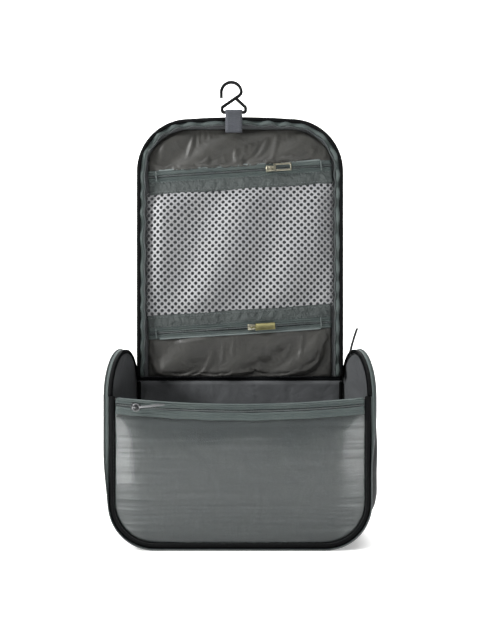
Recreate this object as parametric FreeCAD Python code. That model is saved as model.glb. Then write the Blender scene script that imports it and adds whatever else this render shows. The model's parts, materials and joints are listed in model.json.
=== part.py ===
"""Hanging toiletry bag, unfolded.

A soft box with arched side walls carries a tall lid. The lid turns on a sewn hinge at the back
of the box and has one fold across it, so that it can go over the arches and down the front.
Millimetres, +Z up, +Y to the back, origin at the middle of the base.
"""
import FreeCAD, Part
import math
import os

V = FreeCAD.Vector
ORIGIN = V(0, 0, 0)
X_AXIS, Y_AXIS, Z_AXIS = V(1, 0, 0), V(0, 1, 0), V(0, 0, 1)

# Box
DEPTH = 82.0            # outside of the front panel to outside of the back panel
HALF_FRONT = 126.0      # half width across the side walls at the front
HALF_BACK = 118.5       # the same at the back, so the walls splay towards the front
CORNER = 45.0           # radius of the bottom corners
ARCH_Z = 146.0          # height at which the side walls turn into arches
SHELL = 0.7             # outer fabric
FOAM = 1.4              # padding
LINING = 0.4            # inner fabric
WALL = SHELL + FOAM + LINING
BACK_TOP = 150.3        # top edge of the back panel
RIM_MID = 137.0         # front rim at the middle
RIM_SAG = 6.4           # how far the rim's middle hangs below its ends
RIM_HALF = 120.0
BOARD = (78.0, 37.0, 1.5)   # stiffener in the floor: half width, half depth, thickness

# Front pocket: zip strip under the rim, clear window below it, binding round the edge
TAPE_UPPER = 3.4        # visible width of the zip tape above the coil
TAPE_LOWER = 7.2
COIL = 2.8              # width of a zip coil
CLOTH = 0.7             # thickness of tapes, netting and pocket cloth
COIL_RISE = 1.2         # how far a coil stands proud of its tape
FILM = 0.5
BINDING_OUT = 1.0       # binding's outer edge, in from the side wall
BINDING_IN = 6.8
BINDING_DEPTH = 3.0
BINDING_Z = 156.0       # arches are bound from here up

# Main zip along the arches and the front edges
ZIP_FIN = 3.4           # how far its tape stands out from the side wall
ZIP_COIL = 2.0
ZIP_END = 50.0          # degrees round the bottom corner at which the tape tucks under

# Lid
LID_HALF = 114.5
LID_CORNER = 58.0
LID_SHOULDER = 442.0    # top of the rounded corners
LID_CROWN = 444.0       # top of the lid at its middle
LID_BACK = 42.0         # outside face of the lid
LID_FOAM = 2.6
LID_LINING = 0.5
LID_FRONT = LID_BACK - SHELL - LID_FOAM - LID_LINING
HINGE_Y = (LID_BACK + LID_FRONT) / 2
HINGE_Z = 152.0
HINGE_GAP = 2.3         # lid's bottom edge above the hinge line
HINGE_ROD = 1.7         # radius of the sewn fold at the hinge
FOLD_Z = 260.0          # fold across the lid
FOLD_GAP = 0.3
RIM_DEPTH = 8.0         # how far the lid's rim stands forward
RIM_WALL = 2.0
RIM_CLEAR = 14.0        # rim stops this far from the fold
POCKET_INSET = 12.5     # netting and pockets, in from the lid's outline
NET_Y = LID_FRONT - 1.3     # front face of the netting and the pocket zips

# Pocket zips on the lid: tilt, height at the middle, and the tapes on the two sides of a coil
ZIP_TILT = 3.8
TOP_ZIP_Z = 386.0
LOW_ZIP_Z = 209.9
WIDE_TAPE = 19.0        # towards the netting
NARROW_TAPE = 5.0       # towards the satin

# Sliders and pulls, in the zip's own directions: along, across, out
SLIDER = (9.0, 7.0, 3.5)
SLIDER_LIFT = 0.3
LUG_IN, LUG_OUT = 0.9, 1.7
PIN_R = 0.6
PIN_RISE = 5.9
EYE_R, EYE_WALL = 0.95, 0.75
TOP_SLIDER_X = 33.5
LOW_SLIDER_X = 13.2
FRONT_SLIDER_X = -99.0
MAIN_SLIDER_ANGLE = 37.0    # degrees up the arch from its back end

# Hanger tab and hook
HOOK_X = -6.8
TAB_HALF = 9.3
TAB_BOTTOM = 426.0
TAB_THICK = 2.4
BAR_Z = 448.0
WIRE_R = 1.8
HOOK_R = 11.05
HOOK_TOP = 481.1

SPLAY = math.atan2(HALF_FRONT - HALF_BACK, DEPTH)
ARCH_R = DEPTH / 2 / math.cos(SPLAY)
RIM_R = (RIM_HALF ** 2 + RIM_SAG ** 2) / (2 * RIM_SAG)
RIM_CENTRE = RIM_MID + RIM_R
FRONT = -DEPTH / 2
TALL = 600.0

nodes = {}


# Building blocks

def line(a, b):
    return Part.LineSegment(a, b).toShape()


def arc(a, b, c):
    return Part.Arc(a, b, c).toShape()


def unit(v):
    return v * (1.0 / v.Length)


def block(low, high):
    """Box between two corners."""
    size = V(*high) - V(*low)
    return Part.makeBox(size.x, size.y, size.z, V(*low))


def below(z):
    return block((-TALL, -TALL, 0), (TALL, TALL, z))


def above(z):
    return block((-TALL, -TALL, z), (TALL, TALL, TALL))


def fuse(shapes):
    whole = shapes[0]
    for shape in shapes[1:]:
        whole = whole.fuse(shape)
    return whole.removeSplitter()


def both_sides(shape):
    """A right-hand shape and its mirror image across the middle."""
    return shape, shape.mirror(ORIGIN, X_AXIS)


def rounded_path(points, radii):
    """Straight runs through the points, with a tangent arc of the given radius at each corner."""
    edges = []
    start = points[0]
    for before, corner, after, radius in zip(points, points[1:], points[2:], radii):
        to_before, to_after = unit(before - corner), unit(after - corner)
        half = to_before.getAngle(to_after) / 2
        reach = radius / math.tan(half)
        first, last = corner + to_before * reach, corner + to_after * reach
        middle = corner + unit(to_before + to_after) * (radius / math.sin(half) - radius)
        edges += [line(start, first), arc(first, middle, last)]
        start = last
    edges.append(line(start, points[-1]))
    return Part.Wire(edges)


# Box outlines

def u_wire(half, inset, top, y):
    """Front view of the box: straight sides and round bottom corners, drawn in by inset."""
    side, radius = half - inset, CORNER - inset
    centre = half - CORNER
    diagonal = radius * math.sqrt(0.5)
    corners = [V(-side, y, top), V(-side, y, CORNER), V(-centre, y, inset),
               V(centre, y, inset), V(side, y, CORNER), V(side, y, top)]
    return Part.Wire([
        line(corners[0], corners[1]),
        arc(corners[1], V(-centre - diagonal, y, CORNER - diagonal), corners[2]),
        line(corners[2], corners[3]),
        arc(corners[3], V(centre + diagonal, y, CORNER - diagonal), corners[4]),
        line(corners[4], corners[5]),
        line(corners[5], corners[0])])


def u_prism(inset, top, y_low, y_high, half=HALF_FRONT):
    return Part.Face(u_wire(half, inset, top, y_low)).extrude(V(0, y_high - y_low, 0))


def u_body(inset, top):
    """The box's outline carried from the wide front to the narrower back."""
    wires = [u_wire(HALF_FRONT, inset, top, FRONT), u_wire(HALF_BACK, inset, top, -FRONT)]
    return Part.makeLoft(wires, True, True)


def arch_plate(x_low, x_high):
    """Side wall with an arched top, from x_low to x_high in the wall's own frame."""
    r = ARCH_R
    outline = Part.Wire([
        line(V(x_low, -r, CORNER), V(x_low, r, CORNER)),
        line(V(x_low, r, CORNER), V(x_low, r, ARCH_Z)),
        arc(V(x_low, r, ARCH_Z), V(x_low, 0, ARCH_Z + r), V(x_low, -r, ARCH_Z)),
        line(V(x_low, -r, ARCH_Z), V(x_low, -r, CORNER))])
    return Part.Face(outline).extrude(V(x_high - x_low, 0, 0))


def arch_band(x_low, x_high, r_low, r_high, z_low=ARCH_Z):
    """Strip bent over the arch, between two heights above the wall's edge."""
    outer = Part.makeCylinder(ARCH_R + r_high, x_high - x_low, V(x_low, 0, ARCH_Z), X_AXIS)
    inner = Part.makeCylinder(ARCH_R + r_low, x_high - x_low, V(x_low, 0, ARCH_Z), X_AXIS)
    return outer.cut(inner).common(block((-20, -TALL, z_low), (20, TALL, TALL)))


def onto_wall(shape):
    """Turn a shape from the wall's own frame (+X out of the wall) onto the right-hand wall."""
    placed = shape.copy()
    placed.rotate(ORIGIN, Z_AXIS, math.degrees(SPLAY))
    placed.translate(V((HALF_FRONT + HALF_BACK) / 2, 0, 0))
    return placed


def wall_point(point):
    return FreeCAD.Rotation(Z_AXIS, math.degrees(SPLAY)).multVec(point) + V(
        (HALF_FRONT + HALF_BACK) / 2, 0, 0)


def rim_cylinder(drop, y_low, y_high):
    """Everything above the sagging rim line, lowered by drop."""
    return Part.makeCylinder(RIM_R + drop, y_high - y_low, V(0, y_low, RIM_CENTRE), Y_AXIS)


# Box

def make_box_shell():
    layers = [("panel", 0.0, SHELL), ("foam", SHELL, SHELL + FOAM), ("lining", SHELL + FOAM, WALL)]
    trim = block((-TALL, FRONT, 0), (TALL, -FRONT, TALL))
    floor_half = HALF_BACK - CORNER
    for name, outer, inner in layers:
        wall = onto_wall(arch_plate(-inner, -outer)).common(trim)
        nodes["side_" + name + "_right"], nodes["side_" + name + "_left"] = both_sides(wall)
        tray = u_body(outer, CORNER + 10).cut(u_body(inner, CORNER + 20)).common(below(CORNER))
        floor = block((-floor_half, FRONT, outer), (floor_half, -FRONT, inner))
        middle = block((-floor_half, FRONT - 5, -5), (floor_half, -FRONT + 5, CORNER))
        nodes["base_" + name] = fuse([tray.cut(middle), floor])
    half_x, half_y, thick = BOARD
    nodes["base_board"] = block((-half_x, -half_y, WALL), (half_x, half_y, WALL + thick))

    cavity = u_body(WALL, BACK_TOP)
    for name, outer, inner in layers:
        back_slab = block((-TALL, -FRONT - inner, 0), (TALL, -FRONT - outer, TALL))
        nodes["back_" + name] = cavity.common(back_slab)
        front_slab = block((-TALL, FRONT + outer, 0), (TALL, FRONT + inner, TALL))
        nodes["front_" + name] = cavity.common(front_slab).cut(rim_cylinder(0, FRONT - 5, 0))

    nodes["hinge_fold"] = Part.makeCylinder(
        HINGE_ROD, 2 * (LID_HALF - 2), V(-LID_HALF + 2, HINGE_Y, HINGE_Z), X_AXIS)
    piping_in, piping_out = 4.2, 1.0
    ring = u_prism(piping_out, ARCH_Z, -FRONT, -FRONT + 2.6, HALF_BACK)
    nodes["back_piping"] = ring.cut(
        u_prism(piping_in, ARCH_Z + 20, -FRONT - 5, -FRONT + 5, HALF_BACK))
    binding = onto_wall(arch_band(-WALL - 0.4, 0, 0, 0.8, z_low=BINDING_Z))
    nodes["arch_binding"] = Part.makeCompound(both_sides(binding))


def make_front_pocket():
    bottom = FRONT - BINDING_DEPTH
    face = FRONT - FILM
    ring = u_prism(BINDING_OUT, RIM_MID + RIM_SAG, bottom, FRONT)
    nodes["front_binding"] = ring.cut(
        u_prism(BINDING_IN, RIM_MID + 40, bottom - 5, FRONT + 5))
    inside = u_prism(BINDING_IN, RIM_MID + 40, bottom - 5, FRONT + 5)

    def strip(drop_low, drop_high, y_low, y_high):
        band = rim_cylinder(drop_high, y_low, y_high).cut(rim_cylinder(drop_low, y_low, y_high))
        below = block((-RIM_HALF, y_low, 0), (RIM_HALF, y_high, RIM_MID + 20))
        return band.common(below).common(inside)

    tape_face = FRONT - CLOTH
    coil_low = TAPE_UPPER + COIL
    strip_low = coil_low + TAPE_LOWER
    nodes["front_zip_tape_upper"] = strip(0, TAPE_UPPER, tape_face, FRONT)
    nodes["front_zip_coil"] = strip(TAPE_UPPER, coil_low, tape_face - COIL_RISE, FRONT)
    nodes["front_zip_tape_lower"] = strip(coil_low, strip_low, tape_face, FRONT)
    window = u_prism(BINDING_IN, RIM_MID, face, FRONT)
    nodes["window_film"] = window.cut(rim_cylinder(strip_low, face - 5, FRONT + 5))


def make_main_zip():
    """Tape and coil over each arch, down each front edge, and round the bottom corners."""
    tuck_z = CORNER - (CORNER + ZIP_FIN + ZIP_COIL) * math.sin(math.radians(ZIP_END))
    corner_zone = block((0, FRONT - 5, tuck_z), (TALL, 0, CORNER))

    def run(x_low, x_high, r_low, r_high):
        arch = arch_band(x_low, x_high, r_low, r_high)
        side = block((x_low, -ARCH_R - r_high, CORNER), (x_high, -ARCH_R - r_low, ARCH_Z))
        ring = u_prism(-x_high, CORNER + 10, FRONT - r_high, FRONT - r_low).cut(
            u_prism(-x_low, CORNER + 20, FRONT - 10, FRONT + 10))
        return fuse([onto_wall(fuse([arch, side])), ring.common(corner_zone)])

    tape = run(0, ZIP_FIN, 0, CLOTH)
    coil = run(ZIP_FIN, ZIP_FIN + ZIP_COIL, -0.5, CLOTH + 0.8)
    flat = HALF_FRONT - CORNER
    under = block((-flat, FRONT - 4, 0.1), (flat, FRONT, 0.1 + CLOTH))
    nodes["main_zip_tape"] = Part.makeCompound([*both_sides(tape), under])
    nodes["main_zip_coil"] = Part.makeCompound(both_sides(coil))


# Lid

def lid_prism(inset, y_low, y_high, bottom=HINGE_Z + HINGE_GAP):
    half, radius = LID_HALF - inset, LID_CORNER - inset
    centre = LID_HALF - LID_CORNER
    corner_z = LID_SHOULDER - LID_CORNER
    top, crown = LID_SHOULDER - inset, LID_CROWN - inset
    diagonal = radius * math.sqrt(0.5)
    y = y_low
    outline = Part.Wire([
        line(V(-half, y, bottom), V(half, y, bottom)),
        line(V(half, y, bottom), V(half, y, corner_z)),
        arc(V(half, y, corner_z), V(centre + diagonal, y, corner_z + diagonal), V(centre, y, top)),
        arc(V(centre, y, top), V(0, y, crown), V(-centre, y, top)),
        arc(V(-centre, y, top), V(-centre - diagonal, y, corner_z + diagonal),
            V(-half, y, corner_z)),
        line(V(-half, y, corner_z), V(-half, y, bottom))])
    return Part.Face(outline).extrude(V(0, y_high - y_low, 0))


def lid_ring(outer, inner, y_low, y_high):
    """Band that follows the lid's outline and is open at the hinge."""
    hole = lid_prism(inner, y_low - 5, y_high + 5, bottom=HINGE_Z - 20)
    return lid_prism(outer, y_low, y_high).cut(hole)


def split_at_fold(name, shape, clear=FOLD_GAP, bottom=0.0):
    """Give the part below the fold to the lower lid, and the part above it to the upper lid."""
    nodes["lid_lower_" + name] = shape.common(below(FOLD_Z - clear)).common(above(bottom))
    nodes["lid_upper_" + name] = shape.common(above(FOLD_Z + clear))


def tilted_block(z_mid, low, high, y_low, y_high):
    """Long strip between two offsets from a zip's centre line, tilted with the zip."""
    strip = block((-TALL / 2, y_low, low), (TALL / 2, y_high, high))
    strip.rotate(ORIGIN, Y_AXIS, -ZIP_TILT)
    strip.translate(V(0, 0, z_mid))
    return strip


def make_lid():
    shell_in = LID_BACK - SHELL
    foam_in = shell_in - LID_FOAM
    split_at_fold("shell", lid_prism(0, shell_in, LID_BACK))
    split_at_fold("foam", lid_prism(0, foam_in, shell_in))
    split_at_fold("lining", lid_prism(0, LID_FRONT, foam_in))

    rim_front = LID_FRONT - RIM_DEPTH
    rim_bottom = HINGE_Z + 6
    split_at_fold("rim", lid_ring(0, RIM_WALL, rim_front, LID_FRONT), RIM_CLEAR, rim_bottom)
    split_at_fold("piping", lid_ring(0.2, 3.6, rim_front - 1.8, rim_front), RIM_CLEAR, rim_bottom)
    split_at_fold("zip_tape", lid_ring(3.6, 8.0, rim_front - CLOTH, rim_front),
                  RIM_CLEAR, rim_bottom)
    split_at_fold("zip_coil", lid_ring(8.0, 10.0, rim_front - 1.5, rim_front + 0.3),
                  RIM_CLEAR, rim_bottom)


def make_lid_pockets():
    inside = lid_prism(POCKET_INSET, NET_Y - 5, LID_FRONT, bottom=HINGE_Z + 4)
    tape_back = NET_Y + CLOTH
    half_coil = COIL / 2
    to_net = half_coil + WIDE_TAPE
    to_satin = half_coil + NARROW_TAPE
    for name, z_mid, up, down in (("top", TOP_ZIP_Z, to_satin, to_net),
                                  ("low", LOW_ZIP_Z, to_net, to_satin)):
        upper = tilted_block(z_mid, half_coil, up, NET_Y, tape_back)
        lower = tilted_block(z_mid, -down, -half_coil, NET_Y, tape_back)
        coil = tilted_block(z_mid, -half_coil, half_coil, NET_Y - COIL_RISE, tape_back)
        nodes[name + "_zip_tape_upper"] = upper.common(inside)
        nodes[name + "_zip_tape_lower"] = lower.common(inside)
        nodes[name + "_zip_coil"] = coil.common(inside)

    over_low_zip = tilted_block(LOW_ZIP_Z, to_net, TALL / 4, NET_Y, tape_back)
    under_top_zip = tilted_block(TOP_ZIP_Z, -TALL / 2, -to_net, NET_Y, tape_back)
    netting = inside.common(over_low_zip).common(under_top_zip)
    nodes["netting_lower"] = netting.common(below(FOLD_Z - FOLD_GAP))
    nodes["netting_upper"] = netting.common(above(FOLD_Z + FOLD_GAP))
    over_top_zip = tilted_block(TOP_ZIP_Z, to_satin, TALL / 4, NET_Y, LID_FRONT)
    nodes["top_panel"] = inside.common(over_top_zip)
    under_low_zip = tilted_block(LOW_ZIP_Z, -TALL / 4, -to_satin, NET_Y, LID_FRONT)
    nodes["low_pocket"] = inside.common(under_low_zip)


# Hanger

def make_hanger():
    y = LID_FRONT - RIM_DEPTH - 1.8 - TAB_THICK / 2
    left, right = HOOK_X - TAB_HALF, HOOK_X + TAB_HALF
    ring_out, ring_in = WIRE_R + 1.6, WIRE_R + 0.4
    strap = block((left, y - TAB_THICK / 2, TAB_BOTTOM), (right, y + TAB_THICK / 2, BAR_Z - 2))
    loop = Part.makeCylinder(ring_out, right - left, V(left, y, BAR_Z), X_AXIS)
    eye = Part.makeCylinder(ring_in, right - left + 4, V(left - 2, y, BAR_Z), X_AXIS)
    nodes["hanger_tab"] = fuse([strap, loop]).cut(eye)

    bar_half = 13.0
    foot = BAR_Z + 5.5
    hook_left, hook_right = HOOK_X - 2.8 - HOOK_R, HOOK_X - 2.8 + HOOK_R
    path = rounded_path([
        V(hook_left, y, BAR_Z + 16), V(hook_left, y, HOOK_TOP), V(hook_right, y, HOOK_TOP),
        V(hook_right, y, BAR_Z + 20), V(HOOK_X - bar_half, y, foot),
        V(HOOK_X - bar_half, y, BAR_Z), V(HOOK_X + bar_half, y, BAR_Z),
        V(HOOK_X + bar_half, y, foot), V(HOOK_X + 3.2, y, BAR_Z + 14.5)],
        [HOOK_R - 0.05, HOOK_R - 0.05, 6.0, 2.4, 2.4, 2.4, 2.4])
    section = Part.Wire([Part.Circle(V(hook_left, y, BAR_Z + 16), Z_AXIS, WIRE_R).toShape()])
    nodes["hook"] = path.makePipeShell([section], True, True)
    return y


# Sliders and pulls, built along +X with the zip across Z' and out of the cloth

def make_slider():
    """Slider body over a coil, with two lugs and the pin that the pull turns on."""
    length, width, height = SLIDER
    top = SLIDER_LIFT + height
    body = block((-length / 2, -width / 2, SLIDER_LIFT), (length / 2, width / 2, top))
    body = body.makeFillet(1.2, [e for e in body.Edges if abs(e.tangentAt(0).z) > 0.9])
    channel_half = COIL / 2 + 0.35
    channel = block((-length, -channel_half, 0), (length, channel_half, COIL_RISE + 0.35))
    parts = [body.cut(channel)]
    for side in (-1, 1):
        low, high = sorted((side * LUG_IN, side * LUG_OUT))
        parts.append(block((-1.6, low, top - 0.5), (1.6, high, PIN_RISE + 1.2)))
    parts.append(Part.makeCylinder(PIN_R, 2 * LUG_OUT, V(0, -LUG_OUT, PIN_RISE), Y_AXIS))
    return fuse(parts)


def make_pull(length, width, thick, slot):
    """Pull tab with an eye for the slider's pin; slot is the opening's share of its size."""
    reach = 4.0
    eye_half = LUG_IN - 0.3
    outer = EYE_R + EYE_WALL
    parts = [Part.makeCylinder(outer, 2 * eye_half, V(0, -eye_half, PIN_RISE), Y_AXIS)]
    parts.append(block((0, -eye_half, PIN_RISE - thick / 2),
                       (reach + 1, eye_half, PIN_RISE + thick / 2)))
    plate = block((reach, -width / 2, PIN_RISE - thick / 2),
                  (reach + length, width / 2, PIN_RISE + thick / 2))
    corner = min(width, length) * 0.22
    plate = plate.makeFillet(corner, [e for e in plate.Edges if abs(e.tangentAt(0).z) > 0.9])
    if slot > 0:
        half_w = width * slot / 2
        margin = (width - 2 * half_w) / 2
        plate = plate.cut(block((reach + margin * 2, -half_w, 0), (
            reach + length - margin, half_w, 2 * PIN_RISE)))
    parts.append(plate)
    pin = Part.makeCylinder(EYE_R, 4, V(0, -2, PIN_RISE), Y_AXIS)
    return fuse(parts).cut(pin)


def place(shape, origin, along, across, out):
    """Move a slider or pull from its own directions to its place on a zip."""
    matrix = FreeCAD.Matrix(along.x, across.x, out.x, origin.x, along.y, across.y, out.y, origin.y,
                            along.z, across.z, out.z, origin.z, 0, 0, 0, 1)
    placed = shape.copy()
    placed.Placement = FreeCAD.Placement(matrix).multiply(placed.Placement)
    return placed


def report_pin(name, origin, along, across, out):
    pin = origin + out * PIN_RISE
    print(name, "pin", [round(c, 2) for c in pin], "along", [round(c, 5) for c in along],
          "across", [round(c, 5) for c in across])


def add_slider(name, origin, along, across, out, pull, lean=0.0):
    nodes[name + "_slider"] = place(make_slider(), origin, along, across, out)
    leaned = pull.copy()
    leaned.rotate(V(0, 0, PIN_RISE), Y_AXIS, -lean)
    nodes[name + "_pull"] = place(leaned, origin, along, across, out)
    report_pin(name, origin, along, across, out)


def make_sliders():
    tilt = math.radians(ZIP_TILT)
    along, across = V(math.cos(tilt), 0, math.sin(tilt)), V(-math.sin(tilt), 0, math.cos(tilt))
    out = V(0, -1, 0)
    top_origin = V(0, NET_Y, TOP_ZIP_Z) + along * TOP_SLIDER_X
    add_slider("top", top_origin, along, across, out, make_pull(20.0, 8.6, 1.2, 0.56))
    low_origin = V(0, NET_Y, LOW_ZIP_Z) + along * LOW_SLIDER_X
    add_slider("low", low_origin, along, across, out, make_pull(22.0, 7.6, 1.4, 0.0))

    coil_r = RIM_R + TAPE_UPPER + COIL / 2
    angle = math.asin(FRONT_SLIDER_X / coil_r)
    along = V(math.cos(angle), 0, math.sin(angle))
    across = V(-math.sin(angle), 0, math.cos(angle))
    origin = V(coil_r * math.sin(angle), FRONT - CLOTH, RIM_CENTRE - coil_r * math.cos(angle))
    add_slider("front", origin, along, across, out, make_pull(24.0, 3.2, 1.4, 0.0))

    angle = math.radians(MAIN_SLIDER_ANGLE)
    turn = FreeCAD.Rotation(Z_AXIS, math.degrees(SPLAY))
    out = turn.multVec(V(0, math.cos(angle), math.sin(angle)))
    along = turn.multVec(V(0, -math.sin(angle), math.cos(angle)))
    across = turn.multVec(X_AXIS)
    track_r = ARCH_R + CLOTH
    origin = wall_point(V(ZIP_FIN + ZIP_COIL / 2, track_r * math.cos(angle),
                          ARCH_Z + track_r * math.sin(angle)))
    add_slider("main", origin, along, across, out, make_pull(32.0, 3.2, 1.4, 0.0),
               lean=MAIN_SLIDER_ANGLE)


def main():
    os.makedirs("parts", exist_ok=True)
    make_box_shell()
    make_front_pocket()
    make_main_zip()
    make_lid()
    make_lid_pockets()
    hook_y = make_hanger()
    make_sliders()
    print("nodes", len(nodes), "hook axis y", round(hook_y, 2), "hinge y", round(HINGE_Y, 2),
          "fold axis y", round(NET_Y, 2), "rim centre z", round(RIM_CENTRE, 2),
          "arch centre", [round(c, 2) for c in wall_point(V(0, 0, ARCH_Z))])
    for name, shape in nodes.items():
        box = shape.BoundBox
        if not shape.isValid() or shape.Volume <= 0 or not shape.Solids:
            print("BAD", name, shape.isValid(), round(shape.Volume, 2), len(shape.Solids))
        if box.ZMin < -0.001:
            print("LOW", name, round(box.ZMin, 3))
        shape.exportStep("parts/" + name + ".step")


main()
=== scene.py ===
# %% [markdown]
# # Hanging toiletry bag
# A soft box with arched side walls, and a tall lid that carries two zipped pockets and a hook.
# The solid model gives every size and every joint. This file builds the cloth over it, sheet by
# sheet, and gives each fabric, zip and metal its finish.

# %% Load the frame
import bmesh
import bpy
import json
import math
from mathutils import Matrix, Vector, noise


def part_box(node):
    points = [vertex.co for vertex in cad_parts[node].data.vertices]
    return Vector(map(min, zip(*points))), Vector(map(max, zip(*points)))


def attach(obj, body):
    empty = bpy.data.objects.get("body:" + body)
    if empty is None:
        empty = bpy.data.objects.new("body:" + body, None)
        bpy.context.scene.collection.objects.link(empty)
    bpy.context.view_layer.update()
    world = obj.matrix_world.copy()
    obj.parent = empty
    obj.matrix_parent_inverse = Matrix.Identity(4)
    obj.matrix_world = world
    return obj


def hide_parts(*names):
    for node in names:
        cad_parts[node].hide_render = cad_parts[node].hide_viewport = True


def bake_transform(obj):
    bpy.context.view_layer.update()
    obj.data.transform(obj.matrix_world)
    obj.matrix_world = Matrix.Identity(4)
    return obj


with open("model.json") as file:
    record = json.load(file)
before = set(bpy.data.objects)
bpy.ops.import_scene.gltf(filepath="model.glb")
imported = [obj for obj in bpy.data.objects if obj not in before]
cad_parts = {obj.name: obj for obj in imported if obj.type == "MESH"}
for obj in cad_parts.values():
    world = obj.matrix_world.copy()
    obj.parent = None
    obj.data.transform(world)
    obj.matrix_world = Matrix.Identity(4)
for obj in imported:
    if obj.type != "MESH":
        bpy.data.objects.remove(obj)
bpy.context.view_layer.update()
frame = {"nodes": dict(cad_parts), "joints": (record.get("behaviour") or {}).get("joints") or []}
MM = 0.001
print("frame loaded:", len(frame["nodes"]), "nodes")

# %% [markdown]
# ## Sizes
# Nearly everything is measured from the solid model's own nodes, so the cloth can't drift away
# from it. The few radii and offsets that no box shows are the solid model's own, written out.

# %% Sizes


def joint_at(name):
    """Where a joint of the solid model stands."""
    return next(joint for joint in frame["joints"] if joint["name"] == name)["pos_m"]


wall_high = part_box("side_panel_right")[1]
HALF_FRONT = wall_high[0]
HALF_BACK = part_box("back_piping")[1][0] + 1.0 * MM
HALF_DEPTH = wall_high[1]
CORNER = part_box("base_panel")[1][2]
SPLAY = math.atan2(HALF_FRONT - HALF_BACK, 2 * HALF_DEPTH)
ARCH_R = HALF_DEPTH / math.cos(SPLAY)
ARCH_Z = wall_high[2] - ARCH_R
WALL = 2.5 * MM
BACK_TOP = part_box("back_panel")[1][2]
RIM_MID = 137 * MM
RIM_R = 1128.2 * MM

LID_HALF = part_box("lid_upper_shell")[1][0]
LID_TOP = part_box("lid_upper_shell")[1][2]
LID_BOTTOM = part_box("lid_lower_shell")[0][2]
LID_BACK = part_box("lid_upper_shell")[1][1]
LID_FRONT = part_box("lid_upper_lining")[0][1]
LID_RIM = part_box("lid_upper_rim")[0][1]
LID_CORNER = 58 * MM
LID_CROWN = 2 * MM
NET_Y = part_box("netting_upper")[0][1]
HINGE = joint_at("lid_hinge")
FOLD = joint_at("lid_fold")
POCKET_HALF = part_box("netting_upper")[1][0]
print("box", HALF_FRONT, HALF_BACK, ARCH_Z, "lid", LID_HALF, LID_BOTTOM, LID_TOP)

# %% [markdown]
# ## Camera
# The bag is seen straight on, from a little under half a metre, with a wide lens, so the near
# pocket looks larger than the lid behind it.

# %% Camera
CAMERA_AHEAD = 0.491
CAMERA_HEIGHT = 0.22
LENS = 26.5
FILM_WIDTH = 36
NEAR_CLIP = 0.01

scene = bpy.context.scene
camera = bpy.data.objects.new("camera", bpy.data.cameras.new("camera"))
scene.collection.objects.link(camera)
camera.location = (0, -CAMERA_AHEAD, CAMERA_HEIGHT)
camera.rotation_euler = (math.radians(90), 0, 0)
camera.data.lens = LENS
camera.data.sensor_width = FILM_WIDTH
camera.data.clip_start = NEAR_CLIP
scene.camera = camera

# %% [markdown]
# ## Stage and light
# A pale sweep of card stands under and behind the bag. A key light comes from the upper left, so
# that folds show. Two small lamps stand low at the sides. They light no cloth and are only
# mirrored, in the window, where it curves back at its edges.

# %% Stage and light


def linear(colour):
    """An sRGB hex colour as the linear values that a shader wants."""
    channels = [int(colour[i:i + 2], 16) / 255 for i in (1, 3, 5)]
    return [c / 12.92 if c <= 0.04045 else ((c + 0.055) / 1.055) ** 2.4 for c in channels] + [1.0]


def add_node(tree, kind, inputs=None, **settings):
    """Add a shader node. An input that is another node's output is linked, any other is set."""
    made = tree.nodes.new("ShaderNode" + kind)
    for name, value in settings.items():
        setattr(made, name, value)
    for name, value in (inputs or {}).items():
        if isinstance(value, bpy.types.NodeSocket):
            tree.links.new(value, made.inputs[name])
        else:
            made.inputs[name].default_value = value
    return made


def new_material(name):
    """An empty node material: its tree, and the node that holds the surface."""
    material = bpy.data.materials.new(name)
    material.use_nodes = True
    tree = material.node_tree
    shader = tree.nodes["Principled BSDF"]
    return material, tree, shader


def soft_light(name, place, aim, size, watts, glint=False):
    lamp = bpy.data.lights.new(name, "AREA")
    lamp.shape = "RECTANGLE"
    lamp.size, lamp.size_y = size
    lamp.energy = watts
    obj = bpy.data.objects.new(name, lamp)
    obj.location = place
    obj.rotation_euler = (Vector(aim) - Vector(place)).to_track_quat("-Z", "Y").to_euler()
    obj.visible_camera = False
    obj.visible_diffuse = not glint
    scene.collection.objects.link(obj)


# Each lamp: place, the point that it faces, width and height in metres, watts.
soft_light("key", (-0.92, -0.42, 0.8), (0, 0, 0.28), (0.3, 0.3), 15.0)
soft_light("fill_right", (0.61, -0.86, 0.3), (0, 0, 0.15), (0.3, 0.7), 0.9)
soft_light("glint_left", (-0.21, -0.19, 0.065), (-0.08, 0, 0.06), (0.075, 0.12), 0.2, glint=True)
soft_light("glint_right", (0.21, -0.19, 0.065), (0.08, 0, 0.06), (0.1, 0.12), 0.14, glint=True)
soft_light("overhead", (0, -0.1, 1.5), (0, 0, 0.0), (1.6, 1.2), 17.0)
soft_light("backdrop_wash", (0, 0.55, 1.7), (0, 1.25, 0.3), (2.4, 0.6), 60.0)

world = bpy.data.worlds.new("studio")
world.use_nodes = True
world.node_tree.nodes["Background"].inputs["Color"].default_value = linear("#fbfcff")
world.node_tree.nodes["Background"].inputs["Strength"].default_value = 0.14
scene.world = world
scene.view_settings.view_transform = "Standard"

card, tree, shader = new_material("matt_card")
shader.inputs["Base Color"].default_value = linear("#f4f4f3")
shader.inputs["Emission Color"].default_value = linear("#ffffff")
shader.inputs["Emission Strength"].default_value = 0.3
shader.inputs["Roughness"].default_value = 0.9

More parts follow.
